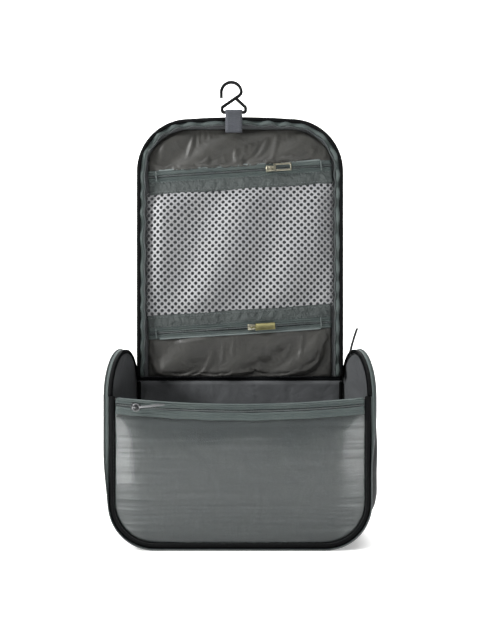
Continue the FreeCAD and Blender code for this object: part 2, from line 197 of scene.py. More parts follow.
SWEEP_HALF = 1.6
SWEEP_HEIGHT = 2.4
SWEEP_BEND = 0.5
bm = bmesh.new()
bmesh.ops.create_grid(bm, x_segments=1, y_segments=1, size=SWEEP_HALF)
back_edge = [edge for edge in bm.edges if all(vert.co.y > 1 for vert in edge.verts)]
raised = bmesh.ops.extrude_edge_only(bm, edges=back_edge)["geom"]
upper = [item for item in raised if isinstance(item, bmesh.types.BMVert)]
bmesh.ops.translate(bm, vec=(0, 0, SWEEP_HEIGHT), verts=upper)
bmesh.ops.bevel(bm, geom=back_edge, offset=SWEEP_BEND, segments=14, affect="EDGES", profile=0.5,
                material=-1)
mesh = bpy.data.meshes.new("sweep")
bm.to_mesh(mesh)
bm.free()
mesh.materials.append(card)
mesh.polygons.foreach_set("use_smooth", [True] * len(mesh.polygons))
sweep_card = bpy.data.objects.new("sweep", mesh)
scene.collection.objects.link(sweep_card)

# %% [markdown]
# ## Sheets and strips
# Almost every piece of a bag is a flat sheet or a narrow strip before it is sewn. So two helpers
# do most of the work. `sheet` lays out a grid and moves each point to its place on the bag.
# `strip` sweeps a small cross-section along a path, for piping, tapes, coils and wire. Both keep
# a UV map in real metres, so that a weave has its true scale wherever the cloth goes.

# %% Sheets and strips


def sheet(columns, rows, place, size, facing=None):
    """Grid of cloth, size (width, height) when flat. place(u, v) gives each point of it, and
    facing(point) the way that its right side looks there."""
    bm = bmesh.new()
    bmesh.ops.create_grid(bm, x_segments=columns, y_segments=rows, size=0.5)
    bm.verts.ensure_lookup_table()
    flat = [(vert.co.x + 0.5, vert.co.y + 0.5) for vert in bm.verts]
    uv_map = bm.loops.layers.uv.new("cloth")
    for face in bm.faces:
        for loop in face.loops:
            u, v = flat[loop.vert.index]
            loop[uv_map].uv = (u * size[0], v * size[1])
    for vert, (u, v) in zip(bm.verts, flat):
        vert.co = place(u, v)
    bm.normal_update()
    if facing:
        agreement = sum(face.normal.dot(facing(face.calc_center_median())) * face.calc_area()
                        for face in bm.faces)
        if agreement < 0:
            bmesh.ops.reverse_faces(bm, faces=bm.faces)
    return bm


def strip(stations, profile, capped=True):
    """Sweep a cross-section along a path.

    stations are (origin, across, out) for each point of the path, profile is (across, out) for
    each point of the section, in metres.
    """
    count, sides = len(stations), len(profile)
    lengths = [0.0]
    for (a, _, _), (b, _, _) in zip(stations, stations[1:]):
        lengths.append(lengths[-1] + (b - a).length)
    girth = [0.0]
    for i in range(sides):
        step = Vector(profile[(i + 1) % sides]) - Vector(profile[i])
        girth.append(girth[-1] + step.length)

    def place(u, v):
        origin, across, out = stations[round(u * (count - 1))]
        a, b = profile[round(v * sides) % sides]
        return origin + across * a + out * b

    bm = sheet(count - 1, sides, place, (1, 1))
    uv_map = bm.loops.layers.uv["cloth"]
    for face in bm.faces:
        for loop in face.loops:
            u, v = loop[uv_map].uv
            loop[uv_map].uv = (lengths[round(u * (count - 1))], girth[round(v * sides)])
    bmesh.ops.remove_doubles(bm, verts=bm.verts, dist=1e-6)
    if capped:
        ends = [edge for edge in bm.edges if edge.is_boundary]
        bmesh.ops.holes_fill(bm, edges=ends, sides=sides)
    bmesh.ops.recalc_face_normals(bm, faces=bm.faces)
    return bm


def finish_piece(name, bm, rides, material, stands_for=(), thick=0.0, rounds=0):
    """Turn a bmesh into a piece of the bag. rides is a body that it is attached to, or (body, body,
    start, end); such a piece is attached to no body, and those bodies and ends are not used.
    """
    mesh = bpy.data.meshes.new(name)
    bm.to_mesh(mesh)
    bm.free()
    mesh.materials.append(materials[material])
    mesh.polygons.foreach_set("use_smooth", [True] * len(mesh.polygons))
    obj = bpy.data.objects.new(name, mesh)
    scene.collection.objects.link(obj)
    if thick:
        wall = obj.modifiers.new("thickness", "SOLIDIFY")
        wall.thickness = thick
        wall.offset = -1.0
    if rounds:
        subdivision = obj.modifiers.new("rounds", "SUBSURF")
        subdivision.levels = subdivision.render_levels = rounds
    if isinstance(rides, str):
        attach(obj, rides)
    else:
        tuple(rides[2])
        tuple(rides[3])
        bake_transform(obj)
    if stands_for:
        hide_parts(*stands_for)
    print("made", name, len(mesh.polygons), "faces")
    return obj


def merged(parts):
    """One bmesh from several."""
    whole = bmesh.new()
    for part in parts:
        mesh = bpy.data.meshes.new("part")
        part.to_mesh(mesh)
        part.free()
        whole.from_mesh(mesh)
        bpy.data.meshes.remove(mesh)
    return whole


def stitches(path, pitch=3.4 * MM, thickness=0.5 * MM, share=0.68):
    """A row of lockstitches along a path: each is a short thread that dips in at both ends."""
    bm = bmesh.new()
    travel, due = 0.0, pitch / 2
    for (a, across, out), (b, _, _) in zip(path, path[1:]):
        length = (b - a).length
        while due <= travel + length:
            middle = a.lerp(b, (due - travel) / length)
            along = (b - a).normalized()
            turn = Matrix((along, across, out)).transposed().to_4x4()
            size = Matrix.Diagonal((pitch * share / 2, thickness / 2, thickness / 2, 1))
            bmesh.ops.create_uvsphere(bm, u_segments=6, v_segments=4, radius=1,
                                      matrix=Matrix.Translation(middle) @ turn @ size
                                      @ Matrix.Rotation(math.pi / 2, 4, "Y"))
            due += pitch
        travel += length
    uv_map = bm.loops.layers.uv.new("cloth")
    for face in bm.faces:
        for loop in face.loops:
            loop[uv_map].uv = (loop.vert.co.x + loop.vert.co.y, loop.vert.co.z)
    return bm


def finish_layer(layer, name, bm, rides, material, stands_for, thick):
    """One layer of a sandwich of cloth, the foam padding or a sheet cut to size; each is finished
    the same way.
    """
    if layer == "foam":
        return finish_piece(name, bm, rides, material, stands_for, thick)
    return finish_piece(name, bm, rides, material, stands_for, thick)


def wave(x, y, seed):
    """Smooth noise from -1 to 1 for the uneven lie of cloth."""
    return noise.noise(Vector((x, y, seed)))


def smooth_step(value, low, high):
    share = min(max((value - low) / (high - low), 0), 1)
    return share * share * (3 - 2 * share)


SETTLING_FRAMES = 20


def loosen(bm, held, slack, push, cap, gravity=0.4, stiff=12.0, bend=0.15):
    """Let a sewn sheet settle as cloth. held(co) says which points are sewn down, slack is how
    much longer the cloth is than its place, push swells it outwards, and cap limits how far each
    point moves. No point moves inwards, as foam or a panel lies there."""
    mesh = bpy.data.meshes.new("settling")
    bm.to_mesh(mesh)
    bm.free()
    start = [vert.co.copy() for vert in mesh.vertices]
    normals = [vert.normal.copy() for vert in mesh.vertices]
    obj = bpy.data.objects.new("settling", mesh)
    scene.collection.objects.link(obj)
    sewn = obj.vertex_groups.new(name="sewn")
    sewn.add([i for i, co in enumerate(start) if held(co)], 1.0, "REPLACE")
    cloth = obj.modifiers.new("cloth", "CLOTH")
    cloth.settings.quality = 6
    cloth.settings.mass = 0.1
    cloth.settings.vertex_group_mass = "sewn"
    cloth.settings.shrink_min = -slack
    cloth.settings.tension_stiffness = cloth.settings.compression_stiffness = stiff
    cloth.settings.bending_stiffness = bend
    cloth.settings.use_pressure = push != 0
    cloth.settings.uniform_pressure_force = push
    cloth.settings.effector_weights.gravity = gravity
    cloth.point_cache.frame_start = 1
    cloth.point_cache.frame_end = SETTLING_FRAMES
    for frame_number in range(1, SETTLING_FRAMES + 1):
        scene.frame_set(frame_number)
    settled = obj.evaluated_get(bpy.context.evaluated_depsgraph_get()).to_mesh()
    moved = 0.0
    for vert, first, normal, last in zip(mesh.vertices, start, normals, settled.vertices):
        shift = last.co - first
        if shift.dot(normal) < 0:
            shift -= normal * shift.dot(normal)
        if shift.length > cap:
            shift *= cap / shift.length
        moved = max(moved, shift.length)
        vert.co = first + shift
    bm = bmesh.new()
    bm.from_mesh(mesh)
    bpy.data.objects.remove(obj)
    scene.frame_set(1)
    print("settled, furthest move", round(moved * 1000, 1), "mm")
    return bm


ACROSS_FOLD = ("lid_lower", "lid_upper", (0, FOLD[1], FOLD[2] - 14 * MM),
               (0, FOLD[1], FOLD[2] + 14 * MM))
ACROSS_HINGE = ("box", "lid_lower", (0, HINGE[1], HINGE[2] - 5 * MM),
                (0, HINGE[1], HINGE[2] + 6 * MM))
materials = {}

# %% [markdown]
# ## Woven cloth
# Bags are cut from a few cloths: a matt black oxford outside, a thin grey lining inside, a satin
# for the pockets, ribbed tapes at the zips and a black binding on the seams. Each is a plain or
# ribbed weave of coloured yarn, so one function makes them all. Two wave patterns at the yarn's
# spacing give the weave, and noise at the scale of a hand gives the uneven colour of dyed cloth.
# The real threads are about 0.3 mm apart, too fine to see here, so they are drawn coarser.

# %% Woven cloth


def woven(name, colour, yarn, roughness, sheen=0.3, bump=0.25, warp=1.0, weft=1.0, mottle=0.12,
          crease=0.0, crease_size=30 * MM, fade="#8b8d8c", shine=0.35):
    """Cloth with yarns the given distance apart; warp and weft set the share of each rib."""
    material, tree, shader = new_material(name)
    cloth = add_node(tree, "UVMap", uv_map="cloth")
    place = add_node(tree, "TexCoord")
    ribs = []
    for direction, strength in (("X", warp), ("Y", weft)):
        rib = add_node(tree, "TexWave", {"Vector": cloth.outputs["UV"], "Scale": 0.314 / yarn,
                                         "Distortion": 0.6, "Detail": 1.0, "Detail Scale": 2.0},
                       wave_type="BANDS", bands_direction=direction)
        ribs.append(add_node(tree, "Math", {0: rib.outputs["Fac"], 1: strength},
                             operation="MULTIPLY"))
    weave = add_node(tree, "Math", {0: ribs[0].outputs[0], 1: ribs[1].outputs[0]}, operation="ADD")
    blotch = add_node(tree, "TexNoise", {"Vector": place.outputs["Object"], "Scale": 55.0,
                                         "Detail": 5.0, "Roughness": 0.65})
    fibre = add_node(tree, "TexNoise", {"Vector": place.outputs["Object"], "Scale": 1500.0,
                                        "Detail": 2.0})
    uneven = add_node(tree, "Math", {0: blotch.outputs["Fac"], 1: fibre.outputs["Fac"]},
                      operation="ADD")
    amount = add_node(tree, "MapRange", {"Value": uneven.outputs[0], "From Min": 0.7,
                                         "From Max": 1.3, "To Min": 0.0, "To Max": mottle})
    tone = add_node(tree, "Mix", {"Factor": amount.outputs[0], 6: linear(colour),
                                  7: linear(fade)}, data_type="RGBA")
    thread = add_node(tree, "MapRange", {"Value": weave.outputs[0], "From Min": 0.0,
                                         "From Max": warp + weft, "To Min": 0.72, "To Max": 1.08})
    shade = add_node(tree, "Mix", {"Factor": 1.0, 6: tone.outputs[2], 7: thread.outputs[0]},
                     data_type="RGBA", blend_type="MULTIPLY")
    tree.links.new(shade.outputs[2], shader.inputs["Base Color"])
    relief = add_node(tree, "Bump", {"Height": weave.outputs[0], "Strength": bump,
                                     "Distance": 0.25 * MM})
    if crease:
        folds = add_node(tree, "TexNoise", {"Vector": place.outputs["Object"],
                                            "Scale": 1 / crease_size, "Detail": 3.0,
                                            "Roughness": 0.45, "Distortion": 0.8})
        relief = add_node(tree, "Bump", {"Height": folds.outputs["Fac"], "Strength": crease,
                                         "Distance": 4 * MM, "Normal": relief.outputs[0]})
    tree.links.new(relief.outputs[0], shader.inputs["Normal"])
    dull = add_node(tree, "MapRange", {"Value": blotch.outputs["Fac"], "From Min": 0.3,
                                       "From Max": 0.7, "To Min": roughness - 0.06,
                                       "To Max": roughness + 0.06})
    tree.links.new(dull.outputs[0], shader.inputs["Roughness"])
    shader.inputs["Sheen Weight"].default_value = sheen
    shader.inputs["Sheen Roughness"].default_value = 0.45
    shader.inputs["Specular IOR Level"].default_value = shine
    materials[name] = material


# Outer polyester oxford: matt black with a faint grid of threads.
woven("polyester_oxford", "#0b0d0f", 0.9 * MM, 0.6, sheen=0.0, bump=0.7, mottle=0.6, crease=0.6,
      fade="#202326", shine=0.09)
# Lining taffeta: thin, smooth, dark grey, with a soft gleam on its folds.
woven("lining_taffeta", "#5a5c5e", 0.6 * MM, 0.5, sheen=0.02, mottle=0.4, crease=0.4,
      crease_size=24 * MM, fade="#727476", shine=0.3)
# Satin: long floating threads all one way, so it shines and shows each crease.
woven("polyester_satin", "#3d3d3b", 0.5 * MM, 0.44, sheen=0.0, bump=0.12, weft=0.4, mottle=0.5,
      crease=0.3, crease_size=16 * MM, fade="#504f4a", shine=0.4)
# Zip tape: grey-green twill, ribbed across.
woven("zip_tape_twill", "#465050", 0.9 * MM, 0.55, sheen=0.02, bump=0.8, warp=0.35, weft=1.0,
      mottle=0.5, fade="#69746f", shine=0.4)
# Fine cord in the seam beside each pocket zip: the palest green of all.
woven("zip_cord", "#76807f", 0.9 * MM, 0.6, sheen=0.02, bump=0.5, warp=1.0, weft=0.2)
# Welt: plain polyester in the zips' green, gathered where it is sewn to the netting.
woven("welt_polyester", "#323939", 0.8 * MM, 0.5, sheen=0.0, bump=0.6, mottle=0.6, crease=0.5,
      crease_size=7 * MM, fade="#535b58", shine=0.5)
# Grosgrain binding: black, with close ribs across it that catch a line of light.
woven("grosgrain_binding", "#060708", 1.1 * MM, 0.5, sheen=0.0, bump=0.8, warp=1.0, weft=0.2,
      mottle=0.4, fade="#101112", shine=0.06)
# Webbing: thick ribbed band in slate grey.
woven("webbing", "#43464d", 1.6 * MM, 0.7, sheen=0.02, bump=0.8, warp=0.4, weft=1.0)
# Knitted netting: smooth pale yarn, a little shiny.
woven("net_yarn", "#999b9e", 0.7 * MM, 0.4, sheen=0.05, bump=0.2, mottle=0.4, fade="#b5b3b0")
# Pocket cloth: the grey polyester behind the window, with slubs of thicker yarn across it.
woven("pocket_polyester", "#3d4245", 0.8 * MM, 0.62, sheen=0.0, bump=0.4, warp=0.5, weft=1.0,
      mottle=0.5, fade="#565b56", crease=0.2, crease_size=30 * MM)
# Sewing thread: fine, round and a little shiny.
woven("thread_pale", "#6b7372", 0.5 * MM, 0.5, sheen=0.0, shine=0.4)
woven("thread_dark", "#17191a", 0.5 * MM, 0.5, sheen=0.0, shine=0.3)
# Cut foam: pale, open and dead matt, hidden between the cloths.
woven("foam_sheet", "#b5b4ae", 1.2 * MM, 0.95, sheen=0.0, bump=0.3)
print("cloths:", ", ".join(materials))

# %% [markdown]
# ## Vinyl, nylon and metal
# The window is a sheet of clear vinyl with a fine haze. The zips' coils are moulded nylon. The
# sliders are zinc. The lid's are plated a worn warm silver, with one brass pull. The front
# pocket's is enamelled black, with a ring of black nickel. The main zip's pull is black rubber.

# %% Vinyl, nylon and metal


def hard(name, colour, roughness, metallic=0.0, grain=900.0, bump=0.05, spread=0.08, worn=None):
    """Moulded or cast surface with fine grain; worn is the colour that rubbed spots show."""
    material, tree, shader = new_material(name)
    place = add_node(tree, "TexCoord")
    fine = add_node(tree, "TexNoise", {"Vector": place.outputs["Object"], "Scale": grain,
                                       "Detail": 3.0})
    broad = add_node(tree, "TexNoise", {"Vector": place.outputs["Object"], "Scale": grain / 6,
                                        "Detail": 2.0})
    tone = add_node(tree, "MapRange", {"Value": broad.outputs["Fac"], "From Min": 0.35,
                                       "From Max": 0.75, "To Min": 0.0, "To Max": 0.45})
    mix = add_node(tree, "Mix", {"Factor": tone.outputs[0], 6: linear(colour),
                                 7: linear(worn or colour)}, data_type="RGBA")
    tree.links.new(mix.outputs[2], shader.inputs["Base Color"])
    gloss = add_node(tree, "MapRange", {"Value": fine.outputs["Fac"], "From Min": 0.3,
                                        "From Max": 0.7, "To Min": roughness - spread,
                                        "To Max": roughness + spread})
    tree.links.new(gloss.outputs[0], shader.inputs["Roughness"])
    relief = add_node(tree, "Bump", {"Height": fine.outputs["Fac"], "Strength": bump,
                                     "Distance": 0.2 * MM})
    tree.links.new(relief.outputs[0], shader.inputs["Normal"])
    shader.inputs["Metallic"].default_value = metallic
    materials[name] = material
    return tree, shader


hard("nylon_coil", "#2f3535", 0.4, worn="#474e4e")
hard("plated_zinc", "#aeaa98", 0.34, metallic=0.9, grain=1400.0, worn="#77745f")
hard("black_nickel", "#747576", 0.34, metallic=0.9, worn="#4e4f52")
hard("black_enamel", "#1c1d20", 0.32, worn="#2f3033")
hard("antique_brass", "#8c875f", 0.36, metallic=0.9, worn="#5f5b3c")
tree, shader = hard("coated_wire", "#0c0d0e", 0.36, worn="#17181a")
shader.inputs["Specular IOR Level"].default_value = 0.15
hard("stiffener_board", "#3a3a3a", 0.6)
CLEAR = "#4e5353"
# This pale colour serves both the faint streaks of haze and the painted reflection near the
# window's upright edges.
MILKY_AND_GLARE_TINT = "#b4bab8"
tree, shader = hard("clear_vinyl", CLEAR, 0.2, grain=260.0, bump=0.08, spread=0.04)
shader.inputs["IOR"].default_value = 1.53
shader.inputs["Specular IOR Level"].default_value = 0.3
shader.inputs["Coat Weight"].default_value = 0.7
shader.inputs["Coat Roughness"].default_value = 0.16

# %% [markdown]
# ## Haze and painted glare on the vinyl
# Thin vinyl is drawn out as it is made, so it has faint streaks across. Towards its two upright
# edges it is painted milkier and more opaque: a painted reflection of the low lamps' glare there.
# One stretched noise makes the streaks, and how far a point is from the middle makes the painted
# glare. Both go to the colour and to the alpha.

# %% Haze and painted glare on the vinyl
place = add_node(tree, "TexCoord")
drawn_out = add_node(tree, "Mapping", {"Vector": place.outputs["Object"], "Scale": (11, 11, 300)})
streaks = add_node(tree, "TexNoise", {"Vector": drawn_out.outputs[0], "Scale": 1.0, "Detail": 4.0,
                                      "Roughness": 0.6})
axes = add_node(tree, "SeparateXYZ", {"Vector": place.outputs["Object"]})
sideways = add_node(tree, "Math", {0: axes.outputs["X"]}, operation="ABSOLUTE")
# Painted reflection: from 88 to 108 mm off the middle, the vinyl is painted paler and more opaque.
painted_edge_glare = add_node(tree, "MapRange", {"Value": sideways.outputs[0], "From Min": 0.088,
                                     "From Max": 0.108, "To Min": 0.0, "To Max": 0.2},
                  interpolation_type="SMOOTHSTEP")
drawn = add_node(tree, "MapRange", {"Value": streaks.outputs["Fac"], "From Min": 0.3,
                                    "From Max": 0.7, "To Min": 0.0, "To Max": 1.0})
streaked_painted_glare = add_node(tree, "Math", {0: painted_edge_glare.outputs[0], 1: drawn.outputs[0]},
                     operation="MULTIPLY")
haze_and_painted_glare = add_node(tree, "Math", {0: drawn.outputs[0], 1: 0.07, 2: streaked_painted_glare.outputs[0]},
                operation="MULTIPLY_ADD")
milky_and_glare_mix = add_node(tree, "Mix", {"Factor": haze_and_painted_glare.outputs[0], 6: linear(CLEAR), 7: linear(MILKY_AND_GLARE_TINT)},
                 data_type="RGBA")
tree.links.new(milky_and_glare_mix.outputs[2], shader.inputs["Base Color"])
opaque = add_node(tree, "Math", {0: haze_and_painted_glare.outputs[0], 1: 0.24}, operation="ADD")
tree.links.new(opaque.outputs[0], shader.inputs["Alpha"])

# %% [markdown]
# ## Solids that are seen as they are
# The board in the floor and the bent wire hook are rigid, and the solid model already has their
# true shape. They only need a finish.

# %% Solids that are seen as they are
for node, material in (("base_board", "stiffener_board"), ("hook", "coated_wire")):
    solid = frame["nodes"][node]
    solid.data.materials.clear()
    solid.data.materials.append(materials[material])

# %% [markdown]
# ## The body of the box
# One long gusset makes both side walls and the floor: it comes down one side, round a bottom
# corner, across, and up the other side. It is a sandwich of outer cloth, foam and lining, so the
# same walk along it places three sheets, one inside the other. The walls are a little swollen.

# %% Body of the box


def half_width(y):
    """Half the width across the side walls at depth y."""
    share = (HALF_DEPTH - y) / (2 * HALF_DEPTH)
    return HALF_BACK + (HALF_FRONT - HALF_BACK) * share


def wall_top(y):
    """Height of the arch at depth y."""
    return ARCH_Z + math.sqrt(max(ARCH_R ** 2 - (y / math.cos(SPLAY)) ** 2, 0))


def gusset_point(s, y, inset):
    """Point on the gusset. s runs 0-1 down the left wall, 1-2 round its corner, 2-3 along the
    floor, 3-4 round the right corner and 4-5 up the right wall."""
    side = -1 if s < 2.5 else 1
    s = min(s, 5 - s)
    half = half_width(y)
    radius = CORNER - inset
    if s <= 1:
        x, z = half - inset, wall_top(y) + (CORNER - wall_top(y)) * s
    elif s <= 2:
        angle = (s - 1) * math.pi / 2
        x = half - CORNER + radius * math.cos(angle)
        z = CORNER - radius * math.sin(angle)
    else:
        x, z = (half - CORNER) * (2.5 - s) * 2, inset
    return Vector((side * x, y, z))


SLUMP_LEFT = 4.5 * MM
SLUMP_RIGHT = 15.5 * MM


def swell(s, y):
    """How far the wall stands out from flat: most at its middle, nothing at the seams. The right
    wall has slumped outwards further than the left one."""
    low = min(s, 5 - s)
    upright = math.sin(math.pi * low / 1.5) ** 0.7 if 0 < low < 1.5 else 0
    share = y / HALF_DEPTH
    across = (1 - share * share) * (1 - 0.35 * share)
    most = SLUMP_RIGHT if s > 2.5 else SLUMP_LEFT
    return most * upright * across * (1 + 0.2 * wave(s * 2.2, y * 30, 3.0))


BOX_MIDDLE = Vector((0, 0, 75 * MM))


def away_from_middle(point):
    return point - BOX_MIDDLE


def towards_middle(point):
    return BOX_MIDDLE - point


def gusset(inset, facing):
    """The gusset at an inset. Its inner layers stop short of the seams, inside the binding."""
    reach = HALF_DEPTH - min(inset * 2, 1.6 * MM)

    def place(u, v):
        y = -reach * math.cos(math.pi * v)
        s = 5 * u
        outward = Vector((-1 if s < 2.5 else 1, 0, 0))
        return gusset_point(s, y, inset) + outward * swell(s, y)
    return sheet(120, 24, place, GUSSET_CUT, facing)


def on_seam(co):
    return abs(abs(co.y) - HALF_DEPTH) < 1 * MM or co.z < 6 * MM


GUSSET_CUT = (2 * (wall_high[2] + HALF_FRONT) - 0.86 * CORNER, 2 * HALF_DEPTH)
layers = (("panel", 0.0, 0.7 * MM, "polyester_oxford", "outer_fabric", away_from_middle),
          ("foam", 0.75 * MM, 1.3 * MM, "foam_sheet", "padding", away_from_middle),
          ("lining", WALL, 0.4 * MM, "lining_taffeta", "lining", towards_middle))
for layer, inset, thick, material, slot, facing in layers:
    bm = gusset(inset, facing)
    if layer == "panel":
        bm = loosen(bm, lambda co: on_seam(co) or co.z > wall_top(co.y) - 4 * MM, 0.012, 0.6,
                    2.5 * MM)
    finish_layer(layer, "gusset_" + layer, bm, "box", material,
                 ("side_" + layer + "_left", "side_" + layer + "_right", "base_" + layer), thick)

# %% [markdown]
# ## Back panel
# The back of the box is a flat sandwich between the gusset's seams. It is drawn row by row, each
# row as wide as the rounded outline is at that height.

# %% Back panel


def u_half(z, half, inset):
    """Half width of the box's rounded outline at height z."""
    radius = CORNER - inset
    if z >= CORNER:
        return half - inset
    return half - CORNER + math.sqrt(max(radius ** 2 - (CORNER - z) ** 2, 0))


def row_height(v, low, high):
    """Rows crowd together near the bottom, where the outline curves most."""
    bend = CORNER - low
    if v < 0.3:
        return low + bend * (1 - math.cos(v / 0.3 * math.pi / 2))
    return CORNER + (high - CORNER) * (v - 0.3) / 0.7


def back_sheet(depth, facing):
    y_at = HALF_DEPTH - depth

    def place(u, v):
        z = row_height(v, WALL, BACK_TOP)
        half = u_half(z, half_width(y_at), WALL)
        x = (2 * u - 1) * half
        puff = 2.5 * MM * (1 - (2 * u - 1) ** 2) * math.sin(math.pi * v)
        return Vector((x, y_at + puff, z))
    return sheet(44, 32, place, (2 * HALF_BACK, BACK_TOP), facing)


def backwards(point):
    return Vector((0, 1, 0))


def forwards(point):
    return Vector((0, -1, 0))


def near_outline(co):
    return u_half(co.z, HALF_BACK, WALL) - abs(co.x) < 3 * MM or co.z < WALL + 3 * MM


for layer, depth, thick, material, slot, facing in layers:
    bm = back_sheet(depth, forwards if layer == "lining" else backwards)
    if layer != "foam":
        bm = loosen(bm, lambda co: near_outline(co) or co.z > BACK_TOP - 2 * MM, 0.012, 0.5,
                    2.5 * MM)
    finish_layer(layer, "back_" + layer + "_cloth", bm, "box", material, ("back_" + layer,),
                 thick)

# %% [markdown]
# ## Front panel and window
# The front is lower than the walls, and its rim sags between them. Grey cloth lies behind a clear
# window that bellies out in front of it. The window turns back sharply at its edges, where it is
# sewn under the binding, so it mirrors the low lamps there.

# %% Front panel and window


def rim_z(x, drop=0.0):
    """Height of the sagging rim line, or of a line that runs parallel below it."""
    return RIM_MID + RIM_R - math.sqrt((RIM_R + drop) ** 2 - x * x)


def front_sheet(y_at, inset, drop, puff, edge_power, facing, lumps):
    """Sheet below the rim. edge_power says how sharply it turns back at its edges."""
    def place(u, v):
        z_flat = row_height(v, inset, RIM_MID - drop)
        half = u_half(z_flat, HALF_FRONT, inset)
        x = (2 * u - 1) * half
        lift = (rim_z(x, drop) - (RIM_MID - drop)) * max(v - 0.3, 0) / 0.7
        side = 1 - abs(2 * u - 1) ** edge_power
        upright = 1 - abs(2 * v - 1) ** edge_power
        y = y_at - puff * side * upright
        y -= lumps * side * upright * wave(x * 22, z_flat * 30, 7.0)
        return Vector((x, y, z_flat + lift))
    return sheet(72, 48, place, (2 * HALF_FRONT, RIM_MID), facing)


FRONT = -HALF_DEPTH
for layer, depth, thick, material, slot, facing in layers:
    bm = front_sheet(FRONT + depth, WALL, 0.0, 3.0 * MM, 2.4,
                     backwards if layer == "lining" else forwards, lumps=1.2 * MM)
    material = "pocket_polyester" if layer == "panel" else material
    finish_layer(layer, "front_" + layer + "_cloth", bm, "box", material,
                 ("front_" + layer,), thick)

TAPE_UPPER = 3.4 * MM
TAPE_LOWER = 7.2 * MM
COIL = 2.8 * MM
STRIP_DROP = TAPE_UPPER + COIL + TAPE_LOWER
BINDING_IN = 6.8 * MM
bm = front_sheet(FRONT - 0.8 * MM, BINDING_IN - 1 * MM, STRIP_DROP - 1 * MM, 4.8 * MM, 5.0,
                 forwards, lumps=1.1 * MM)
finish_piece("window_vinyl", bm, "box", "clear_vinyl", ("window_film",), thick=0.5 * MM,
             rounds=1)

# %% [markdown]
# ## Binding
# Every seam of the box is covered with a folded strip of grosgrain. It could be modelled as a
# folded sheet, but sewn down it looks like a soft roll, so it is a roll swept along the seam. The
# front one is broad and flat underneath, with a row of stitches where it grips the window.

# %% Binding round the front


STEP = 4 * MM


def mirrored(stations):
    """The same stations on the other side of the bag, in the order that goes on from them."""
    return [(Vector((-o.x, o.y, o.z)), Vector((-a.x, a.y, a.z)), n)
            for o, a, n in reversed(stations)]


def u_path(half, inset, y, top):
    """Stations down the left side, round the bottom and up the right; across points outward."""
    stations = []
    radius = CORNER - inset
    side_count = round((top - CORNER) / STEP)
    for i in range(side_count):
        z = top + (CORNER - top) * i / side_count
        stations.append((Vector((-half + inset, y, z)), Vector((-1, 0, 0)), Vector((0, -1, 0))))
    turns = 16
    for i in range(turns):
        angle = math.pi / 2 * i / turns
        outward = Vector((-math.cos(angle), 0, -math.sin(angle)))
        centre = Vector((-half + CORNER, y, CORNER))
        stations.append((centre + outward * radius, outward, Vector((0, -1, 0))))
    flat = half - CORNER
    floor_count = round(2 * flat / STEP)
    for i in range(floor_count):
        x = -flat + 2 * flat * i / floor_count
        stations.append((Vector((x, y, inset)), Vector((0, 0, -1)), Vector((0, -1, 0))))
    last = (Vector((flat, y, inset)), Vector((0, 0, -1)), Vector((0, -1, 0)))
    return stations + [last] + mirrored(stations[:side_count + turns])


FULLNESS = 0.8
FLATTENED = 0.3


def rounded(width, height, flat_side=False, points=16):
    """Cross-section of a soft tape or roll: an ellipse, with its underside flattened if asked."""
    section = []
    for i in range(points):
        angle = 2 * math.pi * i / points
        rise = math.sin(angle)
        b = math.copysign(abs(rise) ** FULLNESS, rise) * height / 2
        if flat_side and b < 0:
            b *= FLATTENED
        section.append((math.cos(angle) * width / 2, b))
    return section


stations = u_path(HALF_FRONT, 3.9 * MM, FRONT - 1.2 * MM, ARCH_Z + 1 * MM)
bm = strip(stations, rounded(6.0 * MM, 4.6 * MM, flat_side=True))
finish_piece("front_binding_roll", bm, "box", "grosgrain_binding", ("front_binding",),
             rounds=1)
stations = u_path(HALF_FRONT, 5.9 * MM, FRONT - 2.9 * MM, RIM_MID - STRIP_DROP)
finish_piece("front_binding_stitches", stitches(stations), "box", "thread_dark")
stations = u_path(HALF_BACK, 2.4 * MM, HALF_DEPTH + 1.2 * MM, ARCH_Z)
bm = strip(stations, rounded(4.2 * MM, 3.2 * MM))
finish_piece("back_piping_roll", bm, "box", "grosgrain_binding", ("back_piping",),
             rounds=1)
stations = u_path(HALF_BACK, 5.2 * MM, HALF_DEPTH - 4.2 * MM, BACK_TOP)
finish_piece("inner_seam_binding", strip(stations, rounded(4.0 * MM, 2.6 * MM)), "box",
             "grosgrain_binding", rounds=1)

# %% [markdown]
# ## Front pocket zip
# Two twill tapes and a nylon coil follow the sagging rim. A coil is one nylon thread wound in
# even turns, so its strip swells and narrows once a turn.

# %% Front pocket zip


def along_rim(drop, y, half, wobble=0.0, seed=0.0):
    count = round(2 * half / (2 * MM))
    stations = []
    for i in range(count + 1):
        x = -half + 2 * half * i / count
        slope = math.atan2(x, RIM_R)
        across = Vector((-math.sin(slope), 0, math.cos(slope)))
        bend = wobble * wave(x * 45, seed, 1.0)
        stations.append((Vector((x, y + bend, rim_z(x, drop) + bend * 0.5)), across,
                         Vector((0, -1, 0))))
    return stations


TURN_PITCH = 1.6 * MM


def toothed(stations, width, height):
    """Coil along a path: the section is full at each turn of the thread and thin between."""
    fine = []
    lengths = [0.0]
    for (a, _, _), (b, _, _) in zip(stations, stations[1:]):
        lengths.append(lengths[-1] + (b - a).length)
    turns = round(lengths[-1] / TURN_PITCH)
    index = 0
    for i in range(turns * 4 + 1):
        want = lengths[-1] * i / (turns * 4)
        while index < len(stations) - 2 and lengths[index + 1] < want:
            index += 1
        share = (want - lengths[index]) / (lengths[index + 1] - lengths[index])
        (o1, a1, n1), (o2, a2, n2) = stations[index], stations[index + 1]
        size = 1.0 if i % 4 in (0, 1) else 0.72
        fine.append((o1.lerp(o2, share), a1.lerp(a2, share) * size, n1.lerp(n2, share) * size))
    return strip(fine, rounded(width, height, points=8))


ZIP_HALF = 118.5 * MM


RIDGE = 0.8 * MM


